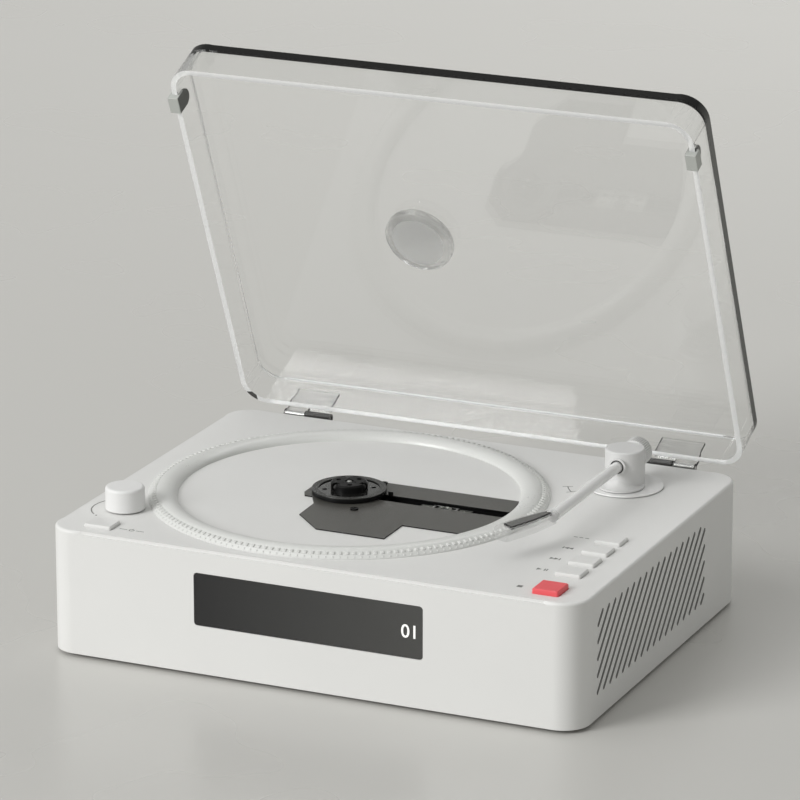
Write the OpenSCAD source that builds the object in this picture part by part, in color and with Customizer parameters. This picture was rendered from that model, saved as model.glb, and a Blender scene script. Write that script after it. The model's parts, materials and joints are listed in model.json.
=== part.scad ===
/* [Body] */
// Width of the housing
body_w = 225; // [222:1:250]
// Depth of the housing
body_d = 171.3; // [170:0.1:190]
// Height of the housing above its bottom edge
body_h = 50.7; // [48:0.1:62]
// Radius of the upright corners
corner_r = 11; // [8:0.5:13]
// Radius along the top edge
edge_r = 1.2; // [0.8:0.1:2]
// Thickness of the side walls
wall = 2.5; // [2:0.1:3]
// Thickness of the deck
deck_t = 2.5; // [2:0.1:3]
// Thickness of the base plate
base_t = 2; // [1.6:0.1:3]
// Height at which the feet hold the housing
foot_gap = 1.5; // [1:0.1:4]
// Radius of a foot
foot_r = 6.5; // [5:0.1:8]
// Depth of the pocket that holds a foot
foot_pocket = 0.8; // [0.5:0.1:1]
// Distance of a foot from the housing's sides
foot_inset = 22; // [18:1:30]

/* [Disc deck] */
// Distance of the spindle left of the middle
disc_left = 21.5; // [20:0.1:24]
// Inner radius of the raised ring
ring_in_r = 68.2; // [66:0.1:70]
// Outer radius of the raised ring
ring_out_r = 80; // [78:0.1:81]
// Height of the raised ring
ring_h = 3; // [2:0.1:4]
// Thickness of the dark cover plate inside the ring
cover_t = 0.5; // [0.4:0.05:0.7]
// Width of the pickup slot in the cover plate
slot_w = 6.8; // [6:0.1:9]
// Radius of the turntable
seat_r = 14.9; // [13:0.1:16]
// Height of the disc seat above the deck
seat_h = 2.8; // [2.6:0.1:3.4]
// Width of the raised rubber band on the turntable
band_w = 2.7; // [2:0.1:3.5]
// Height of the raised rubber band
band_t = 0.5; // [0.3:0.1:0.6]
// Radius of the centring hub
hub_r = 7.4; // [7:0.05:7.45]
// Height of the hub above the disc seat
hub_h = 2.5; // [2:0.1:4]
// Radius of the balls that grip a disc
ball_r = 1.1; // [0.8:0.1:1.3]

/* [Lid] */
// Width of the lid
lid_w = 223.6; // [220:0.1:232]
// Depth of the lid
lid_d = 172.5; // [170:0.1:180]
// Thickness of the lid's top plate
lid_plate_t = 4.4; // [3:0.1:6]
// Height of the lid's walls
lid_wall_h = 14.4; // [14.2:0.1:20]
// Thickness of the lid's walls
lid_wall = 2.3; // [2:0.1:3]
// Radius of the lid's corners
lid_corner_r = 10.5; // [8:0.5:13]
// Height at which the bumpers hold the closed lid's rim
lid_gap = 3; // [2.8:0.1:5]
// How far the closed lid reaches behind the housing
lid_overhang = 2.3; // [1.8:0.1:2.6]
// Angle at which the lid stands open
lid_open = 66.5; // [0:0.5:80]
// Distance of a bumper from the lid's front
bumper_front = 16.6; // [14:0.1:30]
// Length of a bumper
bumper_l = 7.4; // [6:0.1:10]
// Height of a bumper's round tab
bumper_tab = 7; // [6:0.1:9]
// Thickness of a bumper's tab and of its outer lip
bumper_t = 1.2; // [0.8:0.1:2]
// Radius of the round window badge under the lid
badge_r = 14.6; // [12:0.1:18]
// Thickness of the badge
badge_t = 3; // [2:0.1:4]
// Radius of the frosted inset on the badge
inset_r = 11.2; // [8:0.1:11.5]

/* [Hinges] */
// Distance of a hinge's middle from the housing's side
hinge_side = 31.5; // [28:0.1:36]
// Length of one hinge knuckle
knuckle_l = 9.4; // [7:0.1:11]
// Radius of the hinge knuckles
knuckle_r = 1.9; // [1.6:0.1:2.1]
// Radius of the hinge pins
pin_r = 0.8; // [0.6:0.05:1]
// Depth of the hinge axis below the deck's surface
axis_drop = 0.76; // [0.5:0.02:1.2]
// Thickness of the hinge leaves
leaf_t = 1.25; // [1:0.05:1.4]
// Height of the clear leaf on the lid's rear wall
leaf_h = 10; // [8:0.1:12]
// Height of the bracket on the housing's rear wall
bracket_h = 12; // [10:0.1:16]

/* [Tonearm] */
// Distance of the arm's pivot from the housing's right side
arm_side = 37.7; // [34:0.1:42]
// Distance of the arm's pivot from the housing's rear
arm_rear = 32.1; // [30:0.1:36]
// Radius of the thin escutcheon under the arm
escutcheon_r = 15.6; // [13:0.1:16]
// Thickness of the escutcheon
escutcheon_t = 0.9; // [0.6:0.1:1.2]
// Radius of the arm's post
post_r = 8; // [7:0.1:8.5]
// Height of the post's top above the deck
post_top = 16.2; // [14:0.1:16.4]
// Height of the arm tube's axis above the deck
tube_z = 10.6; // [9:0.1:11]
// Radius of the arm tube
tube_r = 2.25; // [1.8:0.05:2.6]
// Distance from the pivot to the headshell
tube_l = 76; // [70:0.5:80]
// Radius of the collar round the arm tube
collar_r = 3.6; // [3:0.1:4.2]
// Length of the headshell
shell_l = 29; // [26:0.5:32]
// Angle at which the headshell turns inwards
shell_turn = 21.6; // [10:0.1:30]
// Width of the headshell at its tip
shell_w = 7.6; // [6.6:0.1:8.4]
// Height of the headshell at its tip
shell_h = 4.8; // [4.6:0.1:6]
// Radius of the counterweight
weight_r = 5.8; // [5:0.1:6]
// Thickness of the counterweight
weight_t = 6; // [4:0.1:8]
// Radius of the arm's spindle
arm_shaft_r = 3; // [2.5:0.1:3.5]

/* [Controls] */
// Radius of the volume knob
knob_r = 7.8; // [7:0.1:9]
// Height of the volume knob's top above the deck
knob_top = 9.8; // [8:0.1:13]
// Distance of the knob's axis from the housing's left side
knob_side = 18.5; // [16:0.1:22]
// Distance of the knob's axis from the housing's front
knob_front = 32.2; // [30:0.1:36]
// Radius of the volume control's shaft
knob_shaft_r = 3; // [2.5:0.1:3.4]
// Width of the play buttons
key_w = 10.7; // [9:0.1:11]
// Depth of a white play button
key_d = 9.2; // [8:0.1:10]
// Depth of the red button
red_d = 11; // [9:0.1:12]
// Distance between the play buttons' middles
key_pitch = 13.45; // [13:0.05:14]
// Distance of the buttons' middles from the housing's right side
key_side = 17.2; // [16:0.1:20]
// Distance of the red button's middle from the housing's front
red_front = 12.1; // [11.5:0.1:14]
// Distance from the red button's middle to the first white button's
red_step = 21.1; // [20:0.1:23]
// Height of the white buttons above the deck
key_h = 1.4; // [1:0.1:2.4]
// Height of the red button above the deck
red_h = 2; // [1.2:0.1:3]
// Width of the power button
power_w = 11.5; // [9:0.1:12]
// Distance of the power button's middle from the housing's left side
power_side = 19.3; // [18:0.1:22]
// Distance of the power button's middle from the housing's front
power_front = 11; // [9:0.1:13]
// Travel of the buttons
key_travel = 0.6; // [0.3:0.1:0.8]

/* [Display and grilles] */
// Width of the display window
window_w = 96.6; // [80:0.1:110]
// Height of the display window
window_h = 21.6; // [16:0.1:24]
// Height of the window's middle above the housing's bottom
window_mid = 30.5; // [28:0.1:32]
// Width of one grille slot
grille_w = 1.9; // [1.2:0.1:2.4]
// Distance between the slots along the wall
grille_pitch = 6.45; // [6:0.05:8]
// Slope of the slots
grille_slope = 46.5; // [40:0.5:60]
// Distance of the grille from the housing's front
grille_front = 17.2; // [16:0.1:24]
// Length of the grille
grille_l = 114; // [90:0.5:120]
// Height of the grille's lower edge above the housing's bottom
grille_low = 9.5; // [8:0.1:12]
// Height of the grille
grille_h = 33.5; // [30:0.1:36]

/* [Mechanism] */
// Radius of the spindle motor
motor_r = 11; // [9:0.1:12]
// Height of the spindle motor
motor_h = 10; // [8:0.1:10]
// Radius of the spindle shaft
shaft_r = 1; // [0.8:0.05:1.3]
// Distance from the spindle to the lens at rest
lens_out = 41.5; // [36:0.1:46]
// Length of the pickup sled along its rods
sled_l = 18; // [16:0.5:18]
// Radius of the guide rods
rod_r = 1.5; // [1.2:0.1:1.8]
// Distance of the guide rods from the slot's middle
rod_y = 15; // [14:0.1:16]
// Gear module, the pitch diameter for each tooth
gear_m = 0.5; // [0.45:0.05:0.55]
// Teeth of the pinion that drives the rack
pinion_n = 16; // [16:1:18]
// Teeth of the large drive gear
gear_n = 42; // [40:1:46]
// Teeth of the sled motor's pinion
motor_n = 14; // [14:1:16]
// Radius of the speaker cones
cone_r = 14; // [12:0.1:15]

/* [Hidden] */
$fn = 72;

// Clearances shared by pieces that fit each other
run = 0.05;
slip = 0.15;
key_gap = 0.25;
rest_gap = 0.2;

// Levels and places that follow from the sizes above
bot = foot_gap;
deck = foot_gap + body_h;
under = deck - deck_t;
base_top = bot + base_t;
half_w = body_w / 2;
half_d = body_d / 2;
in_w = body_w - 2 * wall;
in_d = body_d - 2 * wall;
in_r = corner_r - wall;
spin_x = -disc_left;
post_x = half_w - wall - 6;
post_y = half_d - wall - 6;
foot_x = half_w - foot_inset;
foot_y = half_d - foot_inset;
turn_top = deck + seat_h - band_t;
turn_t = 1.4;
hub_top = deck + seat_h + hub_h;
axis_y = half_d + lid_overhang + leaf_t / 2;
axis_z = deck - axis_drop;
lid_y = half_d + lid_overhang - lid_d / 2;
rim_z = deck + lid_gap;
ceil_z = rim_z + lid_wall_h;
hinge_x = half_w - hinge_side;
hinge_l = 2 * knuckle_l + 2.2;
arm_x = half_w - arm_side;
arm_y = half_d - arm_rear;
arm_z = deck + tube_z;
knob_x = -half_w + knob_side;
knob_y = -half_d + knob_front;
key_x = half_w - key_side;
red_y = -half_d + red_front;
key_y = red_y + red_step;
power_x = -half_w + power_side;
power_y = -half_d + power_front;
board_z = deck - 12;
board_t = 1.6;
grille_mid_y = -half_d + grille_front + grille_l / 2;
grille_mid_z = bot + grille_low + grille_h / 2;
window_z = bot + window_mid;
dc_x = -half_w + 52.5;
audio_x = -half_w + 32.5;
// Mechanism levels
rod_z = deck - 7;
frame_top = deck - 11;
frame_t = 1.5;
gear_pr = gear_m * gear_n / 2;
pinion_pr = gear_m * pinion_n / 2;
motor_pr = gear_m * motor_n / 2;
rack_y = -26;
gear_x = lens_out - 1;
gear_y = rack_y - pinion_pr;
motor_x = gear_x - gear_pr - motor_pr;
mount_x = [-14, 78];
mount_y = [-40, 22];
aperture_r = 12.2;
slot_end = 70.4;
speaker_in = half_w - wall - 0.4;
speaker_flange = 1.5;

// Square with round corners
module rsq(w, d, r) {
    square([w - 2 * r, d], center = true);
    square([w, d - 2 * r], center = true);
    for (sx = [-1, 1], sy = [-1, 1])
        translate([sx * (w / 2 - r), sy * (d / 2 - r)]) circle(r);
}

// Block with round upright corners and a softly rounded top edge
module soft_block(w, d, h, r, e) {
    linear_extrude(h - e) rsq(w, d, r);
    linear_extrude(h) rsq(w - 2 * e, d - 2 * e, r - e);
    translate([0, 0, h - e]) {
        for (s = [-1, 1]) {
            translate([s * (w / 2 - e), 0, 0]) rotate([90, 0, 0])
                cylinder(r = e, h = d - 2 * r, center = true);
            translate([0, s * (d / 2 - e), 0]) rotate([0, 90, 0])
                cylinder(r = e, h = w - 2 * r, center = true);
        }
        for (sx = [-1, 1], sy = [-1, 1])
            translate([sx * (w / 2 - r), sy * (d / 2 - r), 0])
                rotate_extrude() translate([r - e, 0]) circle(e, $fn = 24);
    }
}

// Four copies at the corners of a rectangle
module four(x, y) {
    for (sx = [-1, 1], sy = [-1, 1]) translate([sx * x, sy * y, 0]) children();
}

// One copy on each side, the left one mirrored
module both() {
    children();
    mirror([1, 0, 0]) children();
}

// Screw with its head on top, its origin at the underside of the head
module screw(head_r, head_h, r, l) {
    difference() {
        cylinder(r = head_r, h = head_h, $fn = 32);
        for (a = [0, 90]) rotate(a) translate([0, 0, head_h])
            cube([head_r * 1.2, head_r * 0.28, head_h], center = true);
    }
    translate([0, 0, -l]) cylinder(r = r, h = l + 0.1, $fn = 32);
}

// Outline of one grille slot between two points of its centre line
module slot(y0, z0, y1, z1, w) {
    l = sqrt((y1 - y0) ^ 2 + (z1 - z0) ^ 2);
    translate([y0, z0]) rotate(atan2(z1 - z0, y1 - y0)) {
        translate([0, -w / 2]) square([l, w]);
        circle(w / 2, $fn = 24);
        translate([l, 0]) circle(w / 2, $fn = 24);
    }
}

// All slots of a grille, each cut to the field's edges
module grille_slots() {
    t = tan(grille_slope);
    e = grille_w / 2;
    y0 = -half_d + grille_front + e;
    y1 = y0 + grille_l - grille_w;
    z0 = bot + grille_low + e;
    z1 = z0 + grille_h - grille_w;
    back = floor((z1 - z0) / t / grille_pitch);
    count = floor((y1 - y0) / grille_pitch);
    for (k = [-back : count]) {
        ys = y0 + k * grille_pitch;
        ya = max(ys, y0);
        za = z0 + (ya - ys) * t;
        yb = min(y1, ys + (z1 - z0) / t);
        zb = z0 + (yb - ys) * t;
        if (yb - ya > 1) slot(ya, za, yb, zb, grille_w);
    }
}

// Half width angle of an involute tooth at radius r
function inv(a) = tan(a) * 180 / PI - a;
function tooth_half(n, r) =
    let (rp = gear_m * n / 2, rb = rp * cos(20), a = r > rb ? acos(rb / r) : 0)
    88 / n - 0.07 / rp * 180 / PI + inv(20) - inv(a);

// Outline of a spur gear with a tooth on the +X axis
module gear_outline(n) {
    rp = gear_m * n / 2;
    rr = rp - 1.2 * gear_m;
    ro = rp + 0.9 * gear_m;
    rb = max(rr + 0.02, rp * cos(20));
    rs = [rb, rb + (ro - rb) * 0.35, rb + (ro - rb) * 0.7, ro];
    step = 360 / n;
    polygon([for (i = [0 : n - 1]) each concat(
        [rr * [cos(i * step - tooth_half(n, rb)), sin(i * step - tooth_half(n, rb))]],
        [for (r = rs) r * [cos(i * step - tooth_half(n, r)), sin(i * step - tooth_half(n, r))]],
        [for (j = [3 : -1 : 0]) rs[j] * [cos(i * step + tooth_half(n, rs[j])),
            sin(i * step + tooth_half(n, rs[j]))]],
        [rr * [cos(i * step + tooth_half(n, rb)), sin(i * step + tooth_half(n, rb))]])]);
}

// Housing
module housing_shell() {
    color("whitesmoke") difference() {
        union() {
            difference() {
                translate([0, 0, bot]) soft_block(body_w, body_d, body_h, corner_r, edge_r);
                translate([0, 0, bot - 1]) linear_extrude(body_h - deck_t + 1)
                    rsq(in_w, in_d, in_r);
            }
            for (p = case_posts()) translate([p[0], p[1], base_top]) {
                cylinder(r = 4.5, h = under - base_top + 0.5);
                translate([-0.8, p[1] > 0 ? 0 : -6.5, 0])
                    cube([1.6, 6.5, under - base_top + 0.5]);
            }
            for (x = mount_x, y = mount_y) translate([spin_x + x, y, frame_top + 1])
                cylinder(r = 3.2, h = under - frame_top - 0.5);
            for (p = key_posts()) translate([p[0], p[1], board_z])
                cylinder(r = 2.6, h = under - board_z + 0.5);
            for (x = [-56, 56], z = [-9, 9]) translate([x, -half_d + wall - 0.5, window_z + z])
                rotate([-90, 0, 0]) cylinder(r = 2.8, h = 6.65);
            both() for (x = [-6.5, 6.5]) translate([hinge_x + x, half_d - wall + 0.5,
                axis_z - bracket_h + 3.2]) rotate([90, 0, 0]) cylinder(r = 2.6, h = 4.5);
        }
        for (p = case_posts()) translate([p[0], p[1], base_top - 1]) cylinder(r = 1.5, h = 16);
        for (x = mount_x, y = mount_y) translate([spin_x + x, y, frame_top])
            cylinder(r = 1.5, h = 8);
        for (p = key_posts()) translate([p[0], p[1], board_z - 1]) cylinder(r = 1.1, h = 8);
        for (x = [-56, 56], z = [-9, 9]) translate([x, -half_d + wall + 0.4, window_z + z])
            rotate([-90, 0, 0]) cylinder(r = 1.1, h = 8);
        both() for (x = [-6.5, 6.5]) translate([hinge_x + x, half_d + 1,
            axis_z - bracket_h + 3.2]) rotate([90, 0, 0]) cylinder(r = 1.1, h = 7);
        // Disc deck
        translate([spin_x, 0, under - 1]) {
            cylinder(r = aperture_r, h = deck_t + 2);
            translate([0, -5.2, 0]) cube([slot_end, 10.4, deck_t + 2]);
        }
        for (a = [45 : 90 : 315]) translate([spin_x, 0, deck - 2.2]) rotate(a)
            translate([(ring_in_r + ring_out_r) / 2, 0, 0]) cylinder(r = 1.6, h = 3);
        for (p = cover_points()) translate([p[0], p[1], deck - 2.2])
            cylinder(r = 0.9, h = 3, $fn = 24);
        // Tonearm, knob and buttons
        translate([arm_x, arm_y, under - 1]) cylinder(r = 5 + slip, h = deck_t + 2);
        translate([knob_x, knob_y, under - 1]) cylinder(r = 3.5 + slip, h = deck_t + 2);
        for (i = [0 : 3]) translate([key_x, key_y + i * key_pitch, under - 1])
            linear_extrude(deck_t + 2) rsq(key_w + 2 * key_gap, key_d + 2 * key_gap, 1);
        translate([key_x, red_y, under - 1]) linear_extrude(deck_t + 2)
            rsq(key_w + 2 * key_gap, red_d + 2 * key_gap, 1);
        translate([power_x, power_y, under - 1]) linear_extrude(deck_t + 2)
            rsq(power_w + 2 * key_gap, key_d + 2 * key_gap, 1);
        // Window, grilles and sockets
        translate([0, -half_d + wall + 0.3, window_z]) rotate([90, 0, 0])
            linear_extrude(wall + 1) rsq(window_w, window_h, 1.5);
        both() translate([half_w - wall - 1, 0, 0]) rotate([90, 0, 90])
            linear_extrude(wall + 2) grille_slots();
        translate([dc_x, half_d + 1, 20]) rotate([90, 0, 0]) cylinder(r = 4 + slip, h = wall + 2);
        translate([audio_x, half_d + 1, 20]) rotate([90, 0, 0]) cylinder(r = 3 + slip, h = wall + 2);
    }
}

// Places of the pillars that the base is screwed to
function case_posts() = [[-69.5, -post_y], [69.5, -post_y], [-post_x, post_y],
    [post_x, post_y]];

// Places of the pillars that carry the two control boards
function key_posts() = [
    [key_x, red_y + red_step / 2 + 0.5],
    [key_x, key_y + 3 * key_pitch + key_d / 2 + 4.6],
    [key_x - 11.5, key_y + key_pitch],
    [power_x - 9, power_y + 10.6],
    [power_x + 9, power_y + 10.6],
    [knob_x, knob_y + 10.5]];

// Places of the small screws in the cover plate
function cover_points() = [[spin_x + 10.5, -18.3], [spin_x + 8, 15.6]];

module base_plate() {
    color("silver") difference() {
        union() {
            translate([0, 0, bot]) linear_extrude(base_t)
                rsq(in_w - 2 * slip, in_d - 2 * slip, in_r - slip);
            for (x = [-36, 46], y = [0, 60]) translate([x, y, base_top - 0.5])
                cylinder(r = 3, h = 5.5);
        }
        for (x = [-36, 46], y = [0, 60]) translate([x, y, base_top + 1])
            cylinder(r = 1.1, h = 6);
        four(foot_x, foot_y) translate([0, 0, bot - 1]) cylinder(r = foot_r + slip,
            h = foot_pocket + 1);
        for (p = case_posts()) translate([p[0], p[1], bot - 1]) {
            cylinder(r = 1.7, h = base_t + 2);
            cylinder(r = 3, h = 2.1);
        }
    }
}

module rubber_feet() {
    color("dimgray") four(foot_x, foot_y) rotate_extrude() polygon([[0, 0], [foot_r - 0.6, 0],
        [foot_r, 0.6], [foot_r, foot_gap + foot_pocket], [0, foot_gap + foot_pocket]]);
}

module case_screws() {
    color("gray") for (p = case_posts()) translate([p[0], p[1], bot + 1.1])
        rotate([180, 0, 0]) screw(2.8, 0.9, 1.45, 12);
}

module platter_ring() {
    h = ring_h;
    r0 = ring_in_r;
    r1 = ring_out_r;
    color("white") translate([spin_x, 0, deck]) {
        rotate_extrude($fn = 180) polygon([[r0, 0], [r0 + 1.3, h * 0.6], [r0 + 3.2, h * 0.93],
            [r0 + 4.8, h], [r0 + 6.3, h * 0.93], [r1 - 3.5, h * 0.7], [r1, 0.15], [r1, 0]]);
        for (a = [45 : 90 : 315]) rotate(a) translate([(r0 + r1) / 2, 0, -2])
            cylinder(r = 1.45, h = 2.5);
    }
}

// Dark sheet that closes the deck round the turntable and the pickup slot
module mechanism_cover() {
    color("dimgray") translate([spin_x, 0, deck]) {
        linear_extrude(cover_t) cover_outline();
        // Bent lug at the start of the slot
        translate([seat_r + 0.5, slot_w / 2, 0]) cube([2, 0.6, cover_t + 1.5]);
    }
}

// Cover plate with its opening, slot and screw holes
module cover_outline() {
    difference() {
        intersection() {
            polygon([[-6.9, -32], [6.5, -45.4], [35.5, -45.4], [35.5, -28], [90, -28],
                [90, 17.5], [-8.5, 17.5], [-16.9, 9.5], [-16.9, -6], [-14.9, -10.1],
                [-11.5, -10.2], [-7.4, -17.5]]);
            circle(ring_in_r - rest_gap, $fn = 180);
        }
        circle(aperture_r);
        translate([0, -slot_w / 2]) square([90, slot_w]);
        for (p = cover_points()) translate([p[0] - spin_x, p[1]]) circle(1, $fn = 24);
    }
}

module cover_screws() {
    color("silver") for (p = cover_points()) translate([p[0], p[1], deck + cover_t])
        screw(1.6, 0.6, 0.85, 2.4);
}

module display_window() {
    color("black") translate([0, 0, window_z]) rotate([90, 0, 0]) {
        translate([0, 0, half_d - wall]) linear_extrude(wall - 0.1)
            rsq(window_w - 2 * slip, window_h - 2 * slip, 1.5 - slip);
        translate([0, 0, half_d - wall - 1.2]) linear_extrude(1.2)
            rsq(window_w + 6, window_h + 6, 2);
    }
}

module display_board() {
    color("darkgreen") translate([0, -half_d + wall + 6.15, window_z]) rotate([-90, 0, 0])
        linear_extrude(board_t) difference() {
            square([118, 26], center = true);
            for (x = [-56, 56], y = [-9, 9]) translate([x, y]) circle(1.3, $fn = 24);
        }
}

// Number display and remote control receiver
module display_parts() {
    y = -half_d + wall + 6.15;
    color("dimgray") {
        translate([31, y - 4.4, window_z - 6]) cube([16, 4.4, 12]);
        translate([-44, y - 2, window_z - 4]) cube([8, 2, 8]);
        translate([-40, y - 1.9, window_z]) rotate([90, 0, 0]) cylinder(r = 2.5, h = 2);
    }
}

// Metal plate that carries the disc mechanism on four rubber mounts
module mech_frame() {
    color("lightgray") translate([spin_x, 0, 0]) difference() {
        union() {
            translate([32, -9, frame_top - frame_t]) linear_extrude(frame_t) rsq(104, 74, 5);
            for (x = [9.5, 71.5], y = [-rod_y, rod_y])
                translate([x, y, (frame_top + rod_z + 2.5) / 2 - 0.25])
                    cube([4, 6, rod_z + 2.5 - frame_top + 0.5], center = true);
            translate([gear_x, gear_y, frame_top - 0.5])
                cylinder(r = 1, h = deck - 4.8 - frame_top + 0.5);
            translate([gear_x, gear_y, frame_top - 0.5]) cylinder(r = 2, h = 0.8);
        }
        for (y = [-rod_y, rod_y]) translate([5, y, rod_z]) rotate([0, 90, 0])
            cylinder(r = rod_r + 0.02, h = 70);
        for (x = mount_x, y = mount_y) translate([x, y, frame_top - 3])
            cylinder(r = 3.2, h = 5);
        translate([motor_x, gear_y, frame_top - 3]) cylinder(r = 1.6, h = 5);
        translate([0, 0, frame_top - 3]) cylinder(r = 3, h = 5);
        translate([lens_out, 0, frame_top - 3]) linear_extrude(5) rsq(44, 16, 4);
    }
}

module mech_dampers() {
    color("black") for (x = mount_x, y = mount_y)
        translate([spin_x + x, y, frame_top]) rotate_extrude() {
            translate([1.7, 0]) square([2.9, 1]);
            translate([1.7, -frame_t - 1]) square([1.4, frame_t + 1.5]);
            translate([1.7, -frame_t - 1]) square([2.9, 1]);
        }
}

module mech_screws() {
    color("silver") for (x = mount_x, y = mount_y)
        translate([spin_x + x, y, frame_top - frame_t - 1]) rotate([180, 0, 0])
            screw(3.8, 1.6, 1.45, 8);
}

module spindle_motor() {
    color("silver") translate([spin_x, 0, frame_top]) difference() {
        union() {
            cylinder(r = motor_r, h = motor_h - 0.8);
            cylinder(r = motor_r - 0.8, h = motor_h);
        }
        translate([0, 0, 0.6]) cylinder(r = shaft_r + run, h = motor_h + 1, $fn = 36);
    }
}

module sled_motor() {
    color("silver") translate([spin_x + motor_x, gear_y, frame_top - frame_t]) difference() {
        union() {
            translate([0, 0, -10]) cylinder(r = 8, h = 10);
            translate([0, 0, -11.5]) cylinder(r = 2.5, h = 2);
        }
        translate([0, 0, -7]) cylinder(r = 0.75 + run, h = 8, $fn = 36);
    }
}

module guide_rods() {
    color("silver") for (y = [-rod_y, rod_y]) translate([spin_x + 7.2, y, rod_z])
        rotate([0, 90, 0]) cylinder(r = rod_r, h = 66.6);
}

// Main circuit board with its larger components
module main_board() {
    z = base_top + 5;
    color("darkgreen") difference() {
        union() {
            translate([-41, -5, z]) cube([92, 70, board_t]);
            for (p = [[-28, 50], [-16, 50], [-28, 38]]) translate([p[0], p[1], z + 1])
                cylinder(r = 4, h = 12);
            translate([0, 30, z + 1]) cube([12, 12, 2.2]);
            translate([24, 34, z + 1]) cube([10, 8, 2]);
            translate([18, 8, z + 1]) cube([14, 5, 11]);
            for (i = [0 : 3]) translate([-32 + i * 12, 3, z + 1]) cube([8, 4, 6]);
            for (i = [0 : 4]) translate([8 + i * 7, 52, z + 1]) cube([3, 8, 3]);
        }
        for (x = [-36, 46], y = [0, 60]) translate([x, y, z - 1]) cylinder(r = 1.3, h = 4);
    }
}

// Boards under the play buttons and under the knob
module key_boards() {
    color("darkgreen") difference() {
        union() {
            translate([key_x - 15, red_y - 5.5, board_z - board_t])
                cube([22, key_y - red_y + 3 * key_pitch + key_d / 2 + 13, board_t]);
            translate([power_x - 12.3, power_y - 5.5, board_z - board_t])
                cube([24.6, knob_y - power_y + 20, board_t]);
        }
        for (p = key_posts()) translate([p[0], p[1], board_z - 3]) cylinder(r = 1.3, h = 4);
    }
}

// Touch switches, one under each button
module tact_switches() {
    color("gray") for (p = concat([[key_x, red_y], [power_x, power_y]],
        [for (i = [0 : 3]) [key_x, key_y + i * key_pitch]]))
        translate([p[0], p[1], board_z]) difference() {
            translate([-3.1, -3.1, 0]) cube([6.2, 6.2, 4]);
            translate([0, 0, 1.8]) cylinder(r = 1.9, h = 3, $fn = 36);
        }
}

module volume_encoder() {
    color("silver") translate([knob_x, knob_y, 0]) difference() {
        union() {
            translate([-6, -6, board_z]) cube([12, 12, under - board_z]);
            translate([0, 0, under - 0.5]) cylinder(r = 3.5, h = deck_t + 2.3);
            translate([0, 0, deck]) cylinder(r = 5.4, h = 1.5, $fn = 6);
        }
        translate([0, 0, deck - 9]) cylinder(r = knob_shaft_r + run, h = 14);
    }
}

// Screws of the boards and of the speakers
module inner_screws() {
    color("gray") {
        for (p = key_posts()) translate([p[0], p[1], board_z - board_t]) rotate([180, 0, 0])
            screw(2.2, 1, 1.05, 5);
        for (x = [-36, 46], y = [0, 60]) translate([x, y, base_top + 5 + board_t])
            screw(2.2, 1, 1.05, 4);
        for (x = [-56, 56], z = [-9, 9])
            translate([x, -half_d + wall + 6.15 + board_t, window_z + z]) rotate([-90, 0, 0])
                screw(2.2, 1, 1.05, 5);
        both() for (y = [-14, 14], z = [-19, 19])
            translate([speaker_in - speaker_flange, grille_mid_y + y, grille_mid_z + z])
                rotate([0, -90, 0]) screw(1.9, 0.9, 0.95, 1.4);
    }
}

module speaker_cloths() {
    color("black") both() translate([speaker_in, grille_mid_y, grille_mid_z])
        rotate([90, 0, 90]) linear_extrude(0.4) square([grille_l + 3, grille_h + 3],
            center = true);
}

module speaker_frames() {
    color("dimgray") both() translate([speaker_in, grille_mid_y, grille_mid_z])
        rotate([0, -90, 0]) difference() {
            union() {
                linear_extrude(speaker_flange) rsq(41.6, 35, 3);
                cylinder(r1 = cone_r + 3, r2 = 10.5, h = 6.4);
            }
            translate([0, 0, -0.1]) cylinder(r = cone_r + 0.6, h = 1.7);
            translate([0, 0, 1.5]) cylinder(r1 = cone_r - 0.4, r2 = 9, h = 4.6);
            translate([0, 0, 5]) cylinder(r = 4.2, h = 3);
            for (z = [-19, 19], y = [-14, 14]) translate([z, y, -1]) cylinder(r = 1, h = 4);
        }
}

module speaker_cones() {
    color("darkgray") both() translate([speaker_in, grille_mid_y, grille_mid_z])
        rotate([0, -90, 0]) rotate_extrude() union() {
            polygon([[0, 3.4], [3.9, 4.6], [cone_r - 3, 1.2], [cone_r - 3, 1.8], [4, 5.3],
                [0, 4.2]]);
            translate([cone_r - 3.1, 0.6]) square([3.5, 0.9]);
        }
}

module speaker_magnets() {
    color("gray") both() translate([speaker_in - 6.4, grille_mid_y, grille_mid_z])
        rotate([0, -90, 0]) {
            cylinder(r = 10, h = 5);
            cylinder(r = 8.5, h = 6.5);
        }
}

// Power inlet with its centre pin
module dc_jack() {
    color("black") translate([dc_x, half_d, 20]) rotate([90, 0, 0]) {
        difference() {
            union() {
                translate([0, 0, -0.6]) cylinder(r = 5.2, h = 0.6);
                translate([0, 0, -0.1]) cylinder(r = 4, h = wall + 1);
                translate([-4.6, -5.4, wall]) cube([9.2, 10.8, 12]);
            }
            translate([0, 0, -1]) cylinder(r = 2.9, h = wall + 9);
        }
        translate([0, 0, 0.4]) cylinder(r = 1, h = wall + 8, $fn = 36);
    }
}

module audio_jack() {
    color("dimgray") translate([audio_x, half_d, 20]) rotate([90, 0, 0]) difference() {
        union() {
            translate([0, 0, -0.6]) cylinder(r = 4, h = 0.6);
            translate([0, 0, -0.1]) cylinder(r = 3, h = wall + 1);
            translate([-5, -5, wall]) cube([10, 10, 12.5]);
        }
        translate([0, 0, -1]) cylinder(r = 1.8, h = 13.2, $fn = 48);
    }
}

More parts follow.
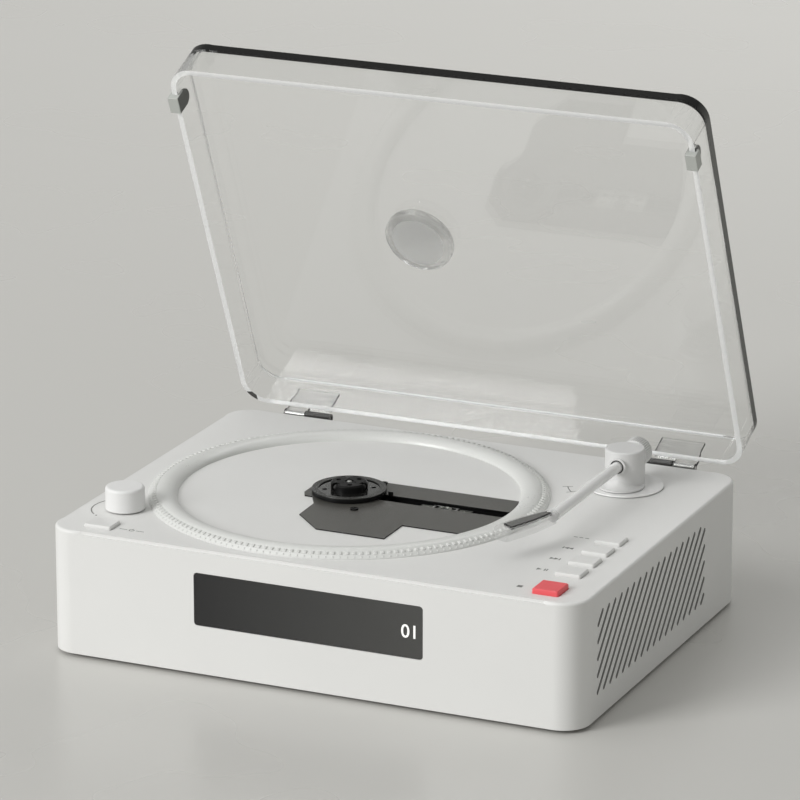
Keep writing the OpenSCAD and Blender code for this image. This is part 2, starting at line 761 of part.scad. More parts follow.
// Hinge halves on the housing
module hinge_brackets() {
    z0 = axis_z - bracket_h;
    split = hinge_l - knuckle_l - 0.3;
    color("dimgray") both() translate([hinge_x - hinge_l / 2, 0, 0]) difference() {
        union() {
            translate([0, half_d, z0]) cube([hinge_l, 1.2, bracket_h - knuckle_r - 0.4]);
            translate([0, half_d, z0]) cube([split, 1.2, bracket_h]);
            translate([0, half_d + 0.6, axis_z - 0.9]) cube([split, axis_y - half_d - 0.6, 1.8]);
            translate([0, axis_y, axis_z]) rotate([0, 90, 0]) cylinder(r = knuckle_r, h = split);
        }
        translate([-1, axis_y, axis_z]) rotate([0, 90, 0])
            cylinder(r = pin_r + 0.02, h = split + 2, $fn = 36);
        for (x = [-6.5, 6.5]) translate([hinge_l / 2 + x, half_d + 2, z0 + 3.2])
            rotate([90, 0, 0]) cylinder(r = 1.3, h = 4, $fn = 24);
    }
}

module hinge_pins() {
    color("silver") both() translate([hinge_x - hinge_l / 2 + 0.3, axis_y, axis_z])
        rotate([0, 90, 0]) cylinder(r = pin_r, h = hinge_l - 0.6, $fn = 36);
}

module hinge_screws() {
    color("silver") both() for (x = [-6.5, 6.5])
        translate([hinge_x + x, half_d + 1.2, axis_z - bracket_h + 3.2]) rotate([-90, 0, 0])
            screw(2.1, 0.8, 1.05, 6);
}

// Thin escutcheon and bush in which the arm turns
module tonearm_base() {
    color("white") translate([arm_x, arm_y, 0]) difference() {
        union() {
            translate([0, 0, deck]) rotate_extrude() polygon([[0, 0], [escutcheon_r - 1, 0],
                [escutcheon_r - 1, 0.25], [escutcheon_r, 0.25], [escutcheon_r, escutcheon_t - 0.2],
                [escutcheon_r - 0.3, escutcheon_t], [0, escutcheon_t]]);
            translate([0, 0, deck - 10]) cylinder(r = 5, h = 10.3);
            translate([0, 0, under - 3]) cylinder(r = 8, h = 3, $fn = 6);
        }
        translate([0, 0, deck - 11]) cylinder(r = arm_shaft_r + run, h = 14);
    }
}

// Lid, drawn closed and then turned about its hinge pins
module opened() {
    translate([0, axis_y, axis_z]) rotate([-lid_open, 0, 0])
        translate([0, -axis_y, -axis_z]) children();
}

module lid_plate() {
    color("lightcyan") opened() translate([0, lid_y, ceil_z])
        soft_block(lid_w, lid_d, lid_plate_t, lid_corner_r, 0.8);
}

module lid_frame() {
    color("azure") opened() translate([0, lid_y, rim_z]) difference() {
        linear_extrude(lid_wall_h) rsq(lid_w, lid_d, lid_corner_r);
        translate([0, 0, -1]) linear_extrude(lid_wall_h + 2) rsq(lid_w - 2 * lid_wall,
            lid_d - 2 * lid_wall, lid_corner_r - lid_wall);
    }
}

module lid_hinge_leaves() {
    y0 = half_d + lid_overhang;
    x1 = hinge_x + hinge_l / 2;
    color("lightblue") opened() both() difference() {
        union() {
            translate([x1 - hinge_l + 1.8, y0, rim_z + 0.4]) cube([hinge_l - 2.3, leaf_t, leaf_h]);
            translate([x1 - knuckle_l, y0, axis_z]) cube([knuckle_l, leaf_t, rim_z - axis_z + 4]);
            translate([x1 - knuckle_l, axis_y, axis_z]) rotate([0, 90, 0])
                cylinder(r = knuckle_r, h = knuckle_l);
        }
        translate([x1 - knuckle_l - 1, axis_y, axis_z]) rotate([0, 90, 0])
            cylinder(r = pin_r + run, h = knuckle_l + 2, $fn = 36);
    }
}

// Soft blocks clipped over the rim of the lid
module lid_bumpers() {
    y = half_d + lid_overhang - lid_d + bumper_front;
    x = lid_w / 2;
    gap = lid_gap - rest_gap;
    color("gray") opened() both() {
        translate([x - lid_wall - bumper_t, y - bumper_l / 2, rim_z - gap])
            cube([lid_wall + 2 * bumper_t, bumper_l, gap]);
        translate([x, y - bumper_l / 2, rim_z - 0.5]) cube([bumper_t, bumper_l, 2.5]);
        translate([x - lid_wall - bumper_t, y, 0]) {
            translate([0, -bumper_l / 2, rim_z - 0.5])
                cube([bumper_t, bumper_l, bumper_tab - bumper_l / 2 + 0.5]);
            translate([0, 0, rim_z + bumper_tab - bumper_l / 2]) rotate([0, 90, 0])
                cylinder(r = bumper_l / 2, h = bumper_t);
        }
    }
}

// Round window badge on the lid, over the spindle
module lid_badge() {
    color("lavender") opened() translate([spin_x, 0, ceil_z - badge_t]) rotate_extrude()
        polygon([[0, 0], [badge_r - 0.6, 0], [badge_r, 0.6], [badge_r, badge_t], [0, badge_t]]);
}

module badge_inset() {
    color("white") opened() translate([spin_x, 0, ceil_z - badge_t - 0.3])
        cylinder(r = inset_r, h = 0.3);
}

// Turntable
module turntable() {
    color("dimgray") translate([spin_x, 0, 0]) difference() {
        union() {
            translate([0, 0, turn_top - turn_t]) cylinder(r = seat_r, h = turn_t);
            translate([0, 0, turn_top - turn_t - 0.6]) cylinder(r = 3, h = 1);
        }
        translate([0, 0, deck - 1]) cylinder(r = shaft_r + 0.01, h = 9, $fn = 36);
        for (a = [0 : 60 : 300]) rotate(a + 30) translate([9.8, 0, turn_top - 0.4])
            cylinder(r = 1, h = 1, $fn = 24);
    }
}

module disc_band() {
    color("black") translate([spin_x, 0, turn_top]) difference() {
        cylinder(r = seat_r, h = band_t);
        translate([0, 0, -1]) cylinder(r = seat_r - band_w, h = band_t + 2);
    }
}

module centring_hub() {
    top = hub_top - turn_top;
    color("black") translate([spin_x, 0, turn_top]) difference() {
        rotate_extrude() polygon([[0, 0], [hub_r, 0], [hub_r, top - 0.6], [hub_r - 0.6, top],
            [0, top]]);
        translate([0, 0, -1]) cylinder(r = shaft_r + 0.01, h = 9, $fn = 36);
        translate([0, 0, top - 0.4]) cylinder(r = shaft_r + 0.9, h = 1, $fn = 36);
        for (a = [-3, 117, 237]) rotate(a) {
            translate([hub_r - ball_r - 1.3, -ball_r - 0.1, 0.35])
                cube([ball_r + 2, 2 * ball_r + 0.2, top]);
            translate([2.7, 0, top - 1]) cylinder(r = 0.4, h = 2, $fn = 16);
            rotate(60) translate([4.7, 0, top - 1.6]) cylinder(r = 1, h = 3, $fn = 24);
        }
    }
}

module hub_balls() {
    color("silver") translate([spin_x, 0, turn_top + 0.36 + ball_r]) for (a = [-3, 117, 237])
        rotate(a) translate([hub_r - ball_r - 0.1, 0, 0]) sphere(ball_r, $fn = 32);
}

module spindle_shaft() {
    z0 = frame_top + 1;
    color("silver") translate([spin_x, 0, z0]) rotate_extrude($fn = 36)
        polygon([[0, 0], [shaft_r, 0], [shaft_r, hub_top - z0 - 0.1],
            [shaft_r - 0.3, hub_top - z0 + 0.2], [0, hub_top - z0 + 0.2]]);
}

// Pickup sled with its two rod bearings and its rack
module pickup_sled() {
    rack_l = 20;
    p = gear_m * PI;
    n = 12;
    color("darkslategray") translate([spin_x + lens_out, 0, 0]) difference() {
        union() {
            translate([-sled_l / 2, -rod_y - 3, rod_z - 2.5]) cube([sled_l, 6, 5]);
            translate([-sled_l / 2, rod_y - 3, rod_z - 2.5]) cube([sled_l, 6, 5]);
            translate([-sled_l / 2, -rod_y, rod_z - 1.5]) cube([sled_l, 2 * rod_y, 4]);
            translate([-sled_l / 2, -23.5, rod_z - 1]) cube([sled_l, 8, 2.4]);
            translate([gear_x - lens_out, 0, rod_z - 1]) linear_extrude(2.4) {
                translate([-rack_l, rack_y + 0.62]) square([2 * rack_l + 2, 2.4]);
                for (i = [-n : n + 1]) translate([(i + 0.5) * p, rack_y]) polygon([
                    [-p / 4 - 0.17, 0.65], [-p / 4 + 0.05, 0], [-p / 4 + 0.21, -0.45],
                    [p / 4 - 0.21, -0.45], [p / 4 - 0.05, 0], [p / 4 + 0.17, 0.65]]);
            }
        }
        for (y = [-rod_y, rod_y]) translate([-sled_l, y, rod_z]) rotate([0, 90, 0])
            cylinder(r = rod_r + run, h = 2 * sled_l);
        translate([-7, -8, rod_z - 5]) cube([14, 16, 5.5]);
    }
}

// Optical block with the lens carrier that shows in the slot
module pickup_unit() {
    color("silver") translate([spin_x + lens_out, 0, rod_z + 2.5]) difference() {
        union() {
            translate([-sled_l / 2 + 1, -9, 0]) cube([sled_l - 2, 18, 1.2]);
            translate([-11, -2.7, 0.6]) cube([6, 5.4, 2.9]);
            translate([5, -2.7, 0.6]) cube([6, 5.4, 2.9]);
            translate([-5.2, -2.4, 0]) cube([10.4, 4.8, 3.2]);
            cylinder(r = 2.7, h = 4);
        }
        translate([0, 0, 2.6]) cylinder(r = 1.9, h = 2, $fn = 36);
        for (x = [-8, 8]) translate([x, 0, 2.4]) cylinder(r = 0.8, h = 2, $fn = 24);
    }
}

module pickup_lens() {
    color("lightblue") translate([spin_x + lens_out, 0, rod_z + 5.1]) {
        cylinder(r = 1.88, h = 0.6, $fn = 36);
        translate([0, 0, -0.8]) intersection() {
            sphere(2.2, $fn = 48);
            translate([0, 0, 1.3]) cylinder(r = 1.7, h = 1.2, $fn = 36);
        }
    }
}

module drive_gear() {
    color("ivory") translate([spin_x + gear_x, gear_y, frame_top + 0.4]) difference() {
        union() {
            linear_extrude(1.8) gear_outline(gear_n);
            translate([0, 0, 1.5]) linear_extrude(rod_z + 1.7 - frame_top - 1.9) rotate(90)
                gear_outline(pinion_n);
        }
        translate([0, 0, -1]) cylinder(r = 1.04, h = 9, $fn = 36);
        for (a = [0 : 60 : 300]) rotate(a + 30) translate([7, 0, -1])
            cylinder(r = 1.8, h = 4, $fn = 24);
    }
}

module motor_pinion() {
    color("gold") translate([spin_x + motor_x, gear_y, 0]) {
        translate([0, 0, frame_top + 0.4]) linear_extrude(2.2)
            rotate(180 / motor_n) gear_outline(motor_n);
        translate([0, 0, frame_top - frame_t - 6.5]) cylinder(r = 0.75, h = 8.5, $fn = 36);
    }
}

// Tonearm
// Half outline of the skirt, hollow curved between the two radii
module skirt_outline() {
    r1 = post_r + 1.2;
    r2 = collar_r - 0.4;
    difference() {
        square([r1, r1 - r2 + 0.6]);
        translate([r1, r1 - r2 + 0.6]) circle(r1 - r2);
    }
}

module arm_post() {
    z0 = deck + escutcheon_t + 0.3;
    h = deck + post_top - z0;
    color("white") translate([arm_x, arm_y, 0]) difference() {
        union() {
            translate([0, 0, z0]) rotate_extrude() polygon([[0, 0], [post_r, 0],
                [post_r, h - 0.5], [post_r - 0.5, h], [0, h]]);
            // Skirt that widens from the collar down to the escutcheon
            translate([0, -post_r / 2, z0]) rotate_extrude() skirt_outline();
            translate([0, 0, deck - 11.2]) cylinder(r = arm_shaft_r, h = 16);
            translate([0, 0, deck - 11.2]) cylinder(r = arm_shaft_r + 1.4, h = 0.9);
            translate([0, -post_r + 2, arm_z]) rotate([90, 0, 0])
                cylinder(r = collar_r, h = 2.8);
            translate([0, post_r - 2, arm_z]) rotate([-90, 0, 0])
                cylinder(r = 2.2, h = 4 + weight_t);
        }
        translate([0, -3, arm_z]) rotate([90, 0, 0]) cylinder(r = tube_r + 0.01, h = 12);
        translate([0, -post_r - 0.3, arm_z]) rotate([90, 0, 0])
            cylinder(r = tube_r + 0.5, h = 1);
    }
}

module arm_tube() {
    color("whitesmoke") translate([arm_x, arm_y - 3, arm_z]) rotate([90, 0, 0])
        cylinder(r = tube_r, h = tube_l - 3);
}

// Headshell, turned inwards at the end of the tube
module headshell() {
    s = shell_w / 2;
    color("azure") difference() {
        translate([arm_x, arm_y - tube_l, arm_z]) {
            sphere(tube_r + 0.25);
            rotate([-90, 0, 0]) cylinder(r = tube_r + 0.25, h = 2.2);
            rotate([0, 0, -shell_turn]) intersection() {
                translate([0, 0, -4]) linear_extrude(4 + tube_r) polygon([[-tube_r, 0],
                    [-s, -shell_l * 0.45], [-s, -shell_l + 0.8], [-s + 0.8, -shell_l],
                    [s - 0.8, -shell_l], [s, -shell_l + 0.8], [s, -shell_l * 0.45],
                    [tube_r, 0]]);
                rotate([90, 0, 90]) linear_extrude(20, center = true) polygon([[0, tube_r],
                    [0, -tube_r], [-shell_l * 0.5, tube_r - shell_h],
                    [-shell_l, tube_r - shell_h], [-shell_l, tube_r - 1.2],
                    [-shell_l + 2.4, tube_r]]);
            }
        }
        translate([arm_x, arm_y, arm_z]) rotate([90, 0, 0])
            cylinder(r = tube_r + 0.01, h = tube_l);
        translate([arm_x, arm_y - tube_l, arm_z + tube_r - 1]) rotate([0, 0, -shell_turn])
            linear_extrude(3) inlay_outline(0.05);
    }
}

// Outline of the dark inlay, grown by g
module inlay_outline(g) {
    s = shell_w / 2 - 1.1 + g;
    polygon([[-tube_r + 0.9 - g, -1.5 + g], [-s, -shell_l * 0.45], [-s, -shell_l + 5 - g],
        [s, -shell_l + 3.6 - g], [s, -shell_l * 0.45], [tube_r - 0.9 + g, -1.5 + g]]);
}

module headshell_inlay() {
    color("dimgray") translate([arm_x, arm_y - tube_l, arm_z + tube_r - 1])
        rotate([0, 0, -shell_turn]) linear_extrude(1.25) inlay_outline(0);
}

// Counterweight with a milled rim
module counterweight() {
    n = 40;
    color("lightgray") translate([arm_x, arm_y + post_r + 1.5, arm_z]) rotate([-90, 0, 0])
        difference() {
            linear_extrude(weight_t) polygon([for (i = [0 : 4 * n - 1])
                (weight_r - (i % 4 < 2 ? 0 : 0.35)) * [cos(i * 90 / n), sin(i * 90 / n)]]);
            translate([0, 0, -1]) cylinder(r = 2.21, h = weight_t + 2);
        }
}

// Controls
module volume_knob() {
    z0 = 0.6;
    color("white") translate([knob_x, knob_y, deck]) union() {
        difference() {
            rotate_extrude() polygon([[0, z0], [knob_r, z0], [knob_r, knob_top - 0.9],
                [knob_r - 0.3, knob_top - 0.3], [knob_r - 0.9, knob_top], [0, knob_top]]);
            translate([0, 0, 0]) cylinder(r = 6.2, h = 3);
        }
        translate([0, 0, -8.5]) cylinder(r = knob_shaft_r, h = 13);
    }
}

// Button cap with a flange under the deck and a stem down to its switch
module button(w, d, h) {
    translate([0, 0, under - rest_gap]) linear_extrude(deck_t + rest_gap + h - 0.3)
        rsq(w, d, 0.8);
    translate([0, 0, under - rest_gap]) linear_extrude(deck_t + rest_gap + h)
        rsq(w - 0.6, d - 0.6, 0.6);
    translate([0, 0, under - rest_gap - 1.2]) linear_extrude(1.2) rsq(w + 2.4, d + 2.4, 1.2);
    translate([0, 0, board_z + 3]) cylinder(r = 1.6, h = under - rest_gap - board_z - 3.5);
}

module power_button() {
    color("white") translate([power_x, power_y, 0]) button(power_w, key_d, key_h);
}

module key_one() {
    color("white") translate([key_x, key_y, 0]) button(key_w, key_d, key_h);
}

module key_two() {
    color("white") translate([key_x, key_y + key_pitch, 0]) button(key_w, key_d, key_h);
}

module key_three() {
    color("white") translate([key_x, key_y + 2 * key_pitch, 0]) button(key_w, key_d, key_h);
}

module key_four() {
    color("white") translate([key_x, key_y + 3 * key_pitch, 0]) button(key_w, key_d, key_h);
}

module red_key() {
    color("indianred") translate([key_x, red_y, 0]) button(key_w, red_d, red_h);
}

housing_shell();
base_plate();
rubber_feet();
case_screws();
platter_ring();
mechanism_cover();
cover_screws();
display_window();
display_board();
display_parts();
mech_frame();
mech_dampers();
mech_screws();
spindle_motor();
sled_motor();
guide_rods();
main_board();
key_boards();
tact_switches();
volume_encoder();
inner_screws();
speaker_cloths();
speaker_frames();
speaker_cones();
speaker_magnets();
dc_jack();
audio_jack();
hinge_brackets();
hinge_pins();
hinge_screws();
tonearm_base();
lid_plate();
lid_frame();
lid_hinge_leaves();
lid_bumpers();
lid_badge();
badge_inset();
turntable();
disc_band();
centring_hub();
hub_balls();
spindle_shaft();
pickup_sled();
pickup_unit();
pickup_lens();
drive_gear();
motor_pinion();
arm_post();
arm_tube();
headshell();
headshell_inlay();
counterweight();
volume_knob();
power_button();
key_one();
key_two();
key_three();
key_four();
red_key();
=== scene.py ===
"""Looks of a desktop disc player with a clear hinged lid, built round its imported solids."""

from __future__ import annotations

import json
import logging
import math
from dataclasses import dataclass, field
from enum import Enum
from typing import Callable, Sequence

import bpy
from mathutils import Matrix, Vector

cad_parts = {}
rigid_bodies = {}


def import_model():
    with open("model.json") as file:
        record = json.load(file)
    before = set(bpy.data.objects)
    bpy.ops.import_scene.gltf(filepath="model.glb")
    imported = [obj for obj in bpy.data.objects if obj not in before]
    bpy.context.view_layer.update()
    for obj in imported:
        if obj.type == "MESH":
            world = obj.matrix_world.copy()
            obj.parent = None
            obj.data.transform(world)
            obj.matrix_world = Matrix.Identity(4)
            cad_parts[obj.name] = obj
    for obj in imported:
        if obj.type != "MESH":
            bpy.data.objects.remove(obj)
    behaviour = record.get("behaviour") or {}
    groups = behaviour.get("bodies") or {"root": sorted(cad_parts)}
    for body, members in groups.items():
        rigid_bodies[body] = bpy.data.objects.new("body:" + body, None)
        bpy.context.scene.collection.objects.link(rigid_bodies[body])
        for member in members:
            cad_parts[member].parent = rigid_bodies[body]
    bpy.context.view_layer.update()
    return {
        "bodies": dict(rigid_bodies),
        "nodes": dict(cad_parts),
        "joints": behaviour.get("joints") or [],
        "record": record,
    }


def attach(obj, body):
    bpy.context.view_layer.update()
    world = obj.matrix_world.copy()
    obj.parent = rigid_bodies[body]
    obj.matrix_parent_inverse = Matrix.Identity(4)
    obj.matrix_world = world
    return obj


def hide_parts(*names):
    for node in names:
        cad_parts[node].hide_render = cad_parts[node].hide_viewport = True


log = logging.getLogger("disc_player")
Colour = tuple[float, float, float, float]
Point = tuple[float, float, float]
Face = bpy.types.MeshPolygon
Piece = bpy.types.Object

MM = 0.001
ACRYLIC_IOR = 1.49
# Corners closer than this, in metres, are one; faces this flat, in degrees, become one.
WELD = 2e-6
FLAT_DEG = 0.4
# Angle in degrees from which an edge is rounded: on cases, on fine pieces, on round ones.
CASE_DEG = 40.0
FINE_DEG = 30.0
KNOB_DEG = 25.0
# Part of a normal along an axis, under which a face counts as turned aside from it.
ASIDE = 0.5


def srgb(red: float, green: float, blue: float) -> Colour:
    """Turn a colour of 0 to 255 as a picture shows it into the shader's linear values.

    Args:
        red: Red channel.
        green: Green channel.
        blue: Blue channel.

    Returns:
        The linear colour with an alpha of 1.
    """
    linear = [c / 12.92 if c <= 0.04045 else ((c + 0.055) / 1.055) ** 2.4
              for c in (red / 255, green / 255, blue / 255)]
    return (*linear, 1.0)


def shaded(colour: Colour, factor: float, lift: float = 0.0) -> Colour:
    """Make a colour darker or lighter by a factor, then lift it."""
    return (*(min(1.0, c * factor + lift) for c in colour[:3]), 1.0)


class Value:
    """A shader socket on which Python operators add Math nodes."""

    def __init__(self, graph: Graph, socket: bpy.types.NodeSocket) -> None:
        """Keep the graph and the output socket that carries the value."""
        self.graph = graph
        self.socket = socket

    def _math(self, operation: str, first: object, second: object = 0.0) -> Value:
        """Add one Math node and return its result."""
        made = self.graph.node("Math", {0: first, 1: second}, operation=operation)
        return Value(self.graph, made.outputs[0])

    def __add__(self, other: object) -> Value:
        """Sum."""
        return self._math("ADD", self, other)

    def __radd__(self, other: object) -> Value:
        """Sum with the number first."""
        return self._math("ADD", other, self)

    def __sub__(self, other: object) -> Value:
        """Difference."""
        return self._math("SUBTRACT", self, other)

    def __mul__(self, other: object) -> Value:
        """Product."""
        return self._math("MULTIPLY", self, other)

    def __truediv__(self, other: object) -> Value:
        """Quotient."""
        return self._math("DIVIDE", self, other)

    def wave(self) -> Value:
        """Sine of the value."""
        return self._math("SINE", self)

    def above(self, edge: float) -> Value:
        """One where the value is over the edge, else nought."""
        return self._math("GREATER_THAN", self, edge)

    def clamped(self) -> Value:
        """The value held between 0 and 1."""
        return self._math("MINIMUM", self._math("MAXIMUM", self, 0.0), 1.0)


class Graph:
    """The node graph of one material."""

    def __init__(self, name: str) -> None:
        """Make an empty material of the given name."""
        self.material = bpy.data.materials.new(name)
        self.material.use_nodes = True
        self.tree = self.material.node_tree
        self.tree.nodes.clear()

    def node(self, kind: str, values: dict | None = None, **settings: str) -> bpy.types.Node:
        """Add a node, set it up, then fill or link its inputs.

        Args:
            kind: Blender's name of the node type, without its ShaderNode.
            values: Input name or number to a constant, a Value or a socket.
            **settings: Node properties.

        Returns:
            The new node.
        """
        made = self.tree.nodes.new("ShaderNode" + kind)
        for key, setting in settings.items():
            setattr(made, key, setting)
        for key, value in (values or {}).items():
            if isinstance(value, Value):
                value = value.socket
            if isinstance(value, bpy.types.NodeSocket):
                self.tree.links.new(value, made.inputs[key])
            else:
                made.inputs[key].default_value = value
        return made

    def place(self) -> bpy.types.NodeSocket:
        """Object coordinates, in metres on every finished piece."""
        return self.node("TexCoord").outputs["Object"]

    def axis(self, index: int) -> Value:
        """One of the Object coordinates: 0 for X, 1 for Y, 2 for Z."""
        parts = self.node("SeparateXYZ", {0: self.place()})
        return Value(self, parts.outputs[index])

    def noise(self, size_mm: float, detail: float = 3.0, stretch: Point = (1, 1, 1)) -> Value:
        """Noise whose features are about size_mm across.

        Args:
            size_mm: Size of a feature.
            detail: Octaves of finer noise.
            stretch: Scale along each axis, smaller for longer features.

        Returns:
            A value round 0.5.
        """
        moved = self.node("Mapping", {"Vector": self.place(), "Scale": stretch})
        made = self.node("TexNoise", {
            "Vector": moved.outputs[0], "Scale": 1 / (size_mm * MM), "Detail": detail})
        return Value(self, made.outputs[0])

    def blend(self, first: object, second: object, factor: object) -> Value:
        """Mix two colours by a factor."""
        made = self.node("Mix", {0: factor, 6: first, 7: second}, data_type="RGBA")
        return Value(self, made.outputs[2])

    def bump(self, height: Value, depth_mm: float, strength: float) -> bpy.types.NodeSocket:
        """Normal of a surface with the given relief.

        Args:
            height: Relief from 0 to 1.
            depth_mm: Height of the relief.
            strength: How much of it shows.

        Returns:
            The normal socket.
        """
        made = self.node("Bump", {
            "Height": height, "Distance": depth_mm * MM, "Strength": strength})
        return made.outputs[0]

    def surface(self, values: dict) -> bpy.types.Material:
        """Close the graph with a Principled shader that has the given inputs."""
        shader = self.node("BsdfPrincipled", values)
        self.node("OutputMaterial", {"Surface": shader.outputs[0]})
        return self.material


@dataclass(frozen=True)
class Finish:
    """A named finish that makes its own material."""

    name: str

    def inputs(self, graph: Graph) -> dict:
        """Inputs of its shader."""
        raise NotImplementedError

    def build(self) -> bpy.types.Material:
        """Make the material."""
        graph = Graph(self.name)
        return graph.surface(self.inputs(graph))


@dataclass(frozen=True)
class MouldedPlastic(Finish):
    """Injection moulded plastic with a fine grain and slight unevenness of colour."""

    colour: Colour
    roughness: float = 0.42
    grain_mm: float = 0.25
    grain_depth_mm: float = 0.006
    coat: float = 0.0
    glow_through: float = 0.0
    shine: float = 0.5
    cloud_mm: float = 38.0
    cloud_shade: float = 0.955

    def inputs(self, graph: Graph) -> dict:
        """Inputs of its shader."""
        cloudy = graph.noise(self.cloud_mm, 2.0)
        fine = graph.noise(self.grain_mm, 2.0)
        return {
            "Base Color": graph.blend(self.colour, shaded(self.colour, self.cloud_shade), cloudy),
            "Roughness": (self.roughness + (fine - 0.5) * 0.12 + (cloudy - 0.5) * 0.06).clamped(),
            "Normal": graph.bump(fine, self.grain_depth_mm, 0.35),
            "Coat Weight": self.coat, "Coat Roughness": 0.06, "Specular IOR Level": self.shine,
            "Subsurface Weight": self.glow_through, "Subsurface Scale": 1.5 * MM,
            "Subsurface Radius": (1.0, 1.0, 0.95)}


@dataclass(frozen=True)
class ClearPlastic(Finish):
    """Polished clear acrylic, or frosted where its roughness is high; a glow, where given, is
    painted light.
    """

    colour: Colour
    roughness: float = 0.012
    alpha: float = 1.0
    transmission: float = 1.0
    shine: float = 0.5
    glow: float = 0.0
    smear_mm: float = 16.0

    def inputs(self, graph: Graph) -> dict:
        """Inputs of its shader."""
        smears = graph.noise(self.smear_mm, 4.0)
        return {
            "Base Color": self.colour, "IOR": ACRYLIC_IOR,
            "Transmission Weight": self.transmission,
            "Roughness": (self.roughness + (smears - 0.45).clamped() * 0.02).clamped(),
            "Alpha": self.alpha, "Specular IOR Level": self.shine,
            "Emission Color": self.colour, "Emission Strength": self.glow}


@dataclass(frozen=True)
class PaintedEdgeShade(Finish):
    """Painted shade on the sawn edge of the lid's plate, dark along the front and greyer down the
    sides.
    """

    front: Colour
    side: Colour
    half_width: float
    fade: tuple[float, float] = (3.5 * MM, 0.4 * MM)

    def inputs(self, graph: Graph) -> dict:
        """Inputs of its shader."""
        out = graph.axis(0) * graph.axis(0)
        inner, outer = ((self.half_width - depth) ** 2 for depth in self.fade)
        beside = ((out - inner) / (outer - inner)).clamped()
        streaks = graph.noise(2.0, 3.0, (0.04, 0.5, 0.5))
        return {
            "Base Color": graph.blend(self.front, self.side, beside),
            "Roughness": 0.2 + streaks * 0.1, "IOR": ACRYLIC_IOR, "Specular IOR Level": 0.3}


@dataclass(frozen=True)
class Metal(Finish):
    """Bare or plated metal with drawn lines along one axis."""

    colour: Colour
    roughness: float = 0.3
    metallic: float = 1.0
    stretch: Point = (0.03, 1.0, 1.0)
    line_mm: float = 0.12
    cloud_mm: float = 9.0
    cloud_shade: float = 0.84

    def inputs(self, graph: Graph) -> dict:
        """Inputs of its shader."""
        lines = graph.noise(self.line_mm, 2.0, self.stretch)
        cloudy = graph.noise(self.cloud_mm, 3.0)
        mixed = (lines * 0.6 + cloudy * 0.4).clamped()
        return {
            "Base Color": graph.blend(self.colour, shaded(self.colour, self.cloud_shade), mixed),
            "Metallic": self.metallic,
            "Roughness": (self.roughness + (lines - 0.5) * 0.16 + (cloudy - 0.5) * 0.1).clamped(),
            "Normal": graph.bump(lines, 0.004, 0.25)}


@dataclass(frozen=True)
class Rubber(Finish):
    """Soft matt rubber with dust in its grain."""

    colour: Colour
    roughness: float = 0.75
    grain_mm: float = 0.5

    def inputs(self, graph: Graph) -> dict:
        """Inputs of its shader."""
        grain = graph.noise(self.grain_mm, 4.0)
        dust = shaded(self.colour, 1.6, 0.01)
        return {
            "Base Color": graph.blend(self.colour, dust, (grain - 0.45).clamped()),
            "Roughness": (self.roughness + (grain - 0.5) * 0.25).clamped(),
            "Normal": graph.bump(grain, 0.03, 0.5)}


@dataclass(frozen=True)
class RibbedRubber(Finish):
    """Pale rubber with fine ribs across the height of the shut lid, the rib valleys painted darker
    as shade.
    """

    colour: Colour
    roughness: float
    tilt: float
    rib_mm: float

    def inputs(self, graph: Graph) -> dict:
        """Inputs of its shader."""
        turn = math.radians(self.tilt)
        height = graph.axis(1) * math.sin(turn) + graph.axis(2) * math.cos(turn)
        ribs = (height * (2 * math.pi / (self.rib_mm * MM))).wave() * 0.5 + 0.5
        return {
            "Base Color": graph.blend(shaded(self.colour, 0.8), self.colour, ribs),
            "Roughness": self.roughness + graph.noise(0.4) * 0.1,
            "Normal": graph.bump(ribs, 0.08, 0.6)}


@dataclass(frozen=True)
class SpeakerCloth(Finish):
    """Plain woven cloth behind the grille, woven across Y and Z, the raised threads painted
    lighter as highlight.
    """

    colour: Colour
    thread_mm: float = 0.55

    def inputs(self, graph: Graph) -> dict:
        """Inputs of its shader."""
        turns = 2 * math.pi / (self.thread_mm * MM)
        weave = ((graph.axis(1) * turns).wave() * (graph.axis(2) * turns).wave()) * 0.5 + 0.5
        return {
            "Base Color": graph.blend(self.colour, shaded(self.colour, 2.2), weave),
            "Roughness": 0.85 + weave * 0.1, "Normal": graph.bump(weave, 0.15, 0.8),
            "Sheen Weight": 0.2}


@dataclass(frozen=True)
class SmokedPanel(Finish):
    """Satin smoked window whose tone lifts slowly from one end to the other."""

    dark: Colour
    light: Colour
    left: float
    right: float
    grain_mm: float = 0.2

    def inputs(self, graph: Graph) -> dict:
        """Inputs of its shader."""
        along = ((graph.axis(0) - self.left) / (self.right - self.left)).clamped()
        fine = graph.noise(self.grain_mm, 2.0)
        return {
            "Base Color": graph.blend(self.dark, self.light, along),
            "Roughness": (0.3 + (fine - 0.5) * 0.1).clamped(), "Specular IOR Level": 0.35,
            "Normal": graph.bump(fine, 0.003, 0.3)}


@dataclass(frozen=True)
class CircuitBoard(Finish):
    """Lacquered board with copper tracks under the lacquer."""

    colour: Colour
    copper: Colour
    turns_x: float = 2600.0
    turns_y: float = 1900.0

    def inputs(self, graph: Graph) -> dict:
        """Inputs of its shader."""
        waves = (graph.axis(0) * self.turns_x).wave() * (graph.axis(1) * self.turns_y).wave()
        tracks = waves.above(0.35)
        return {
            "Base Color": graph.blend(self.colour, self.copper, tracks),
            "Roughness": 0.3 + tracks * 0.1, "Normal": graph.bump(tracks, 0.03, 0.6)}


@dataclass(frozen=True)
class PrintedInk(Finish):
    """Thin screen printed ink; a glow, where given, is painted light."""

    colour: Colour
    glow: float = 0.0
    speckle_mm: float = 0.15

    def inputs(self, graph: Graph) -> dict:
        """Inputs of its shader."""
        speckle = graph.noise(self.speckle_mm, 2.0)
        return {
            "Base Color": graph.blend(self.colour, shaded(self.colour, 1.12), speckle),
            "Roughness": 0.5 + speckle * 0.1, "Emission Color": self.colour,
            "Emission Strength": self.glow}


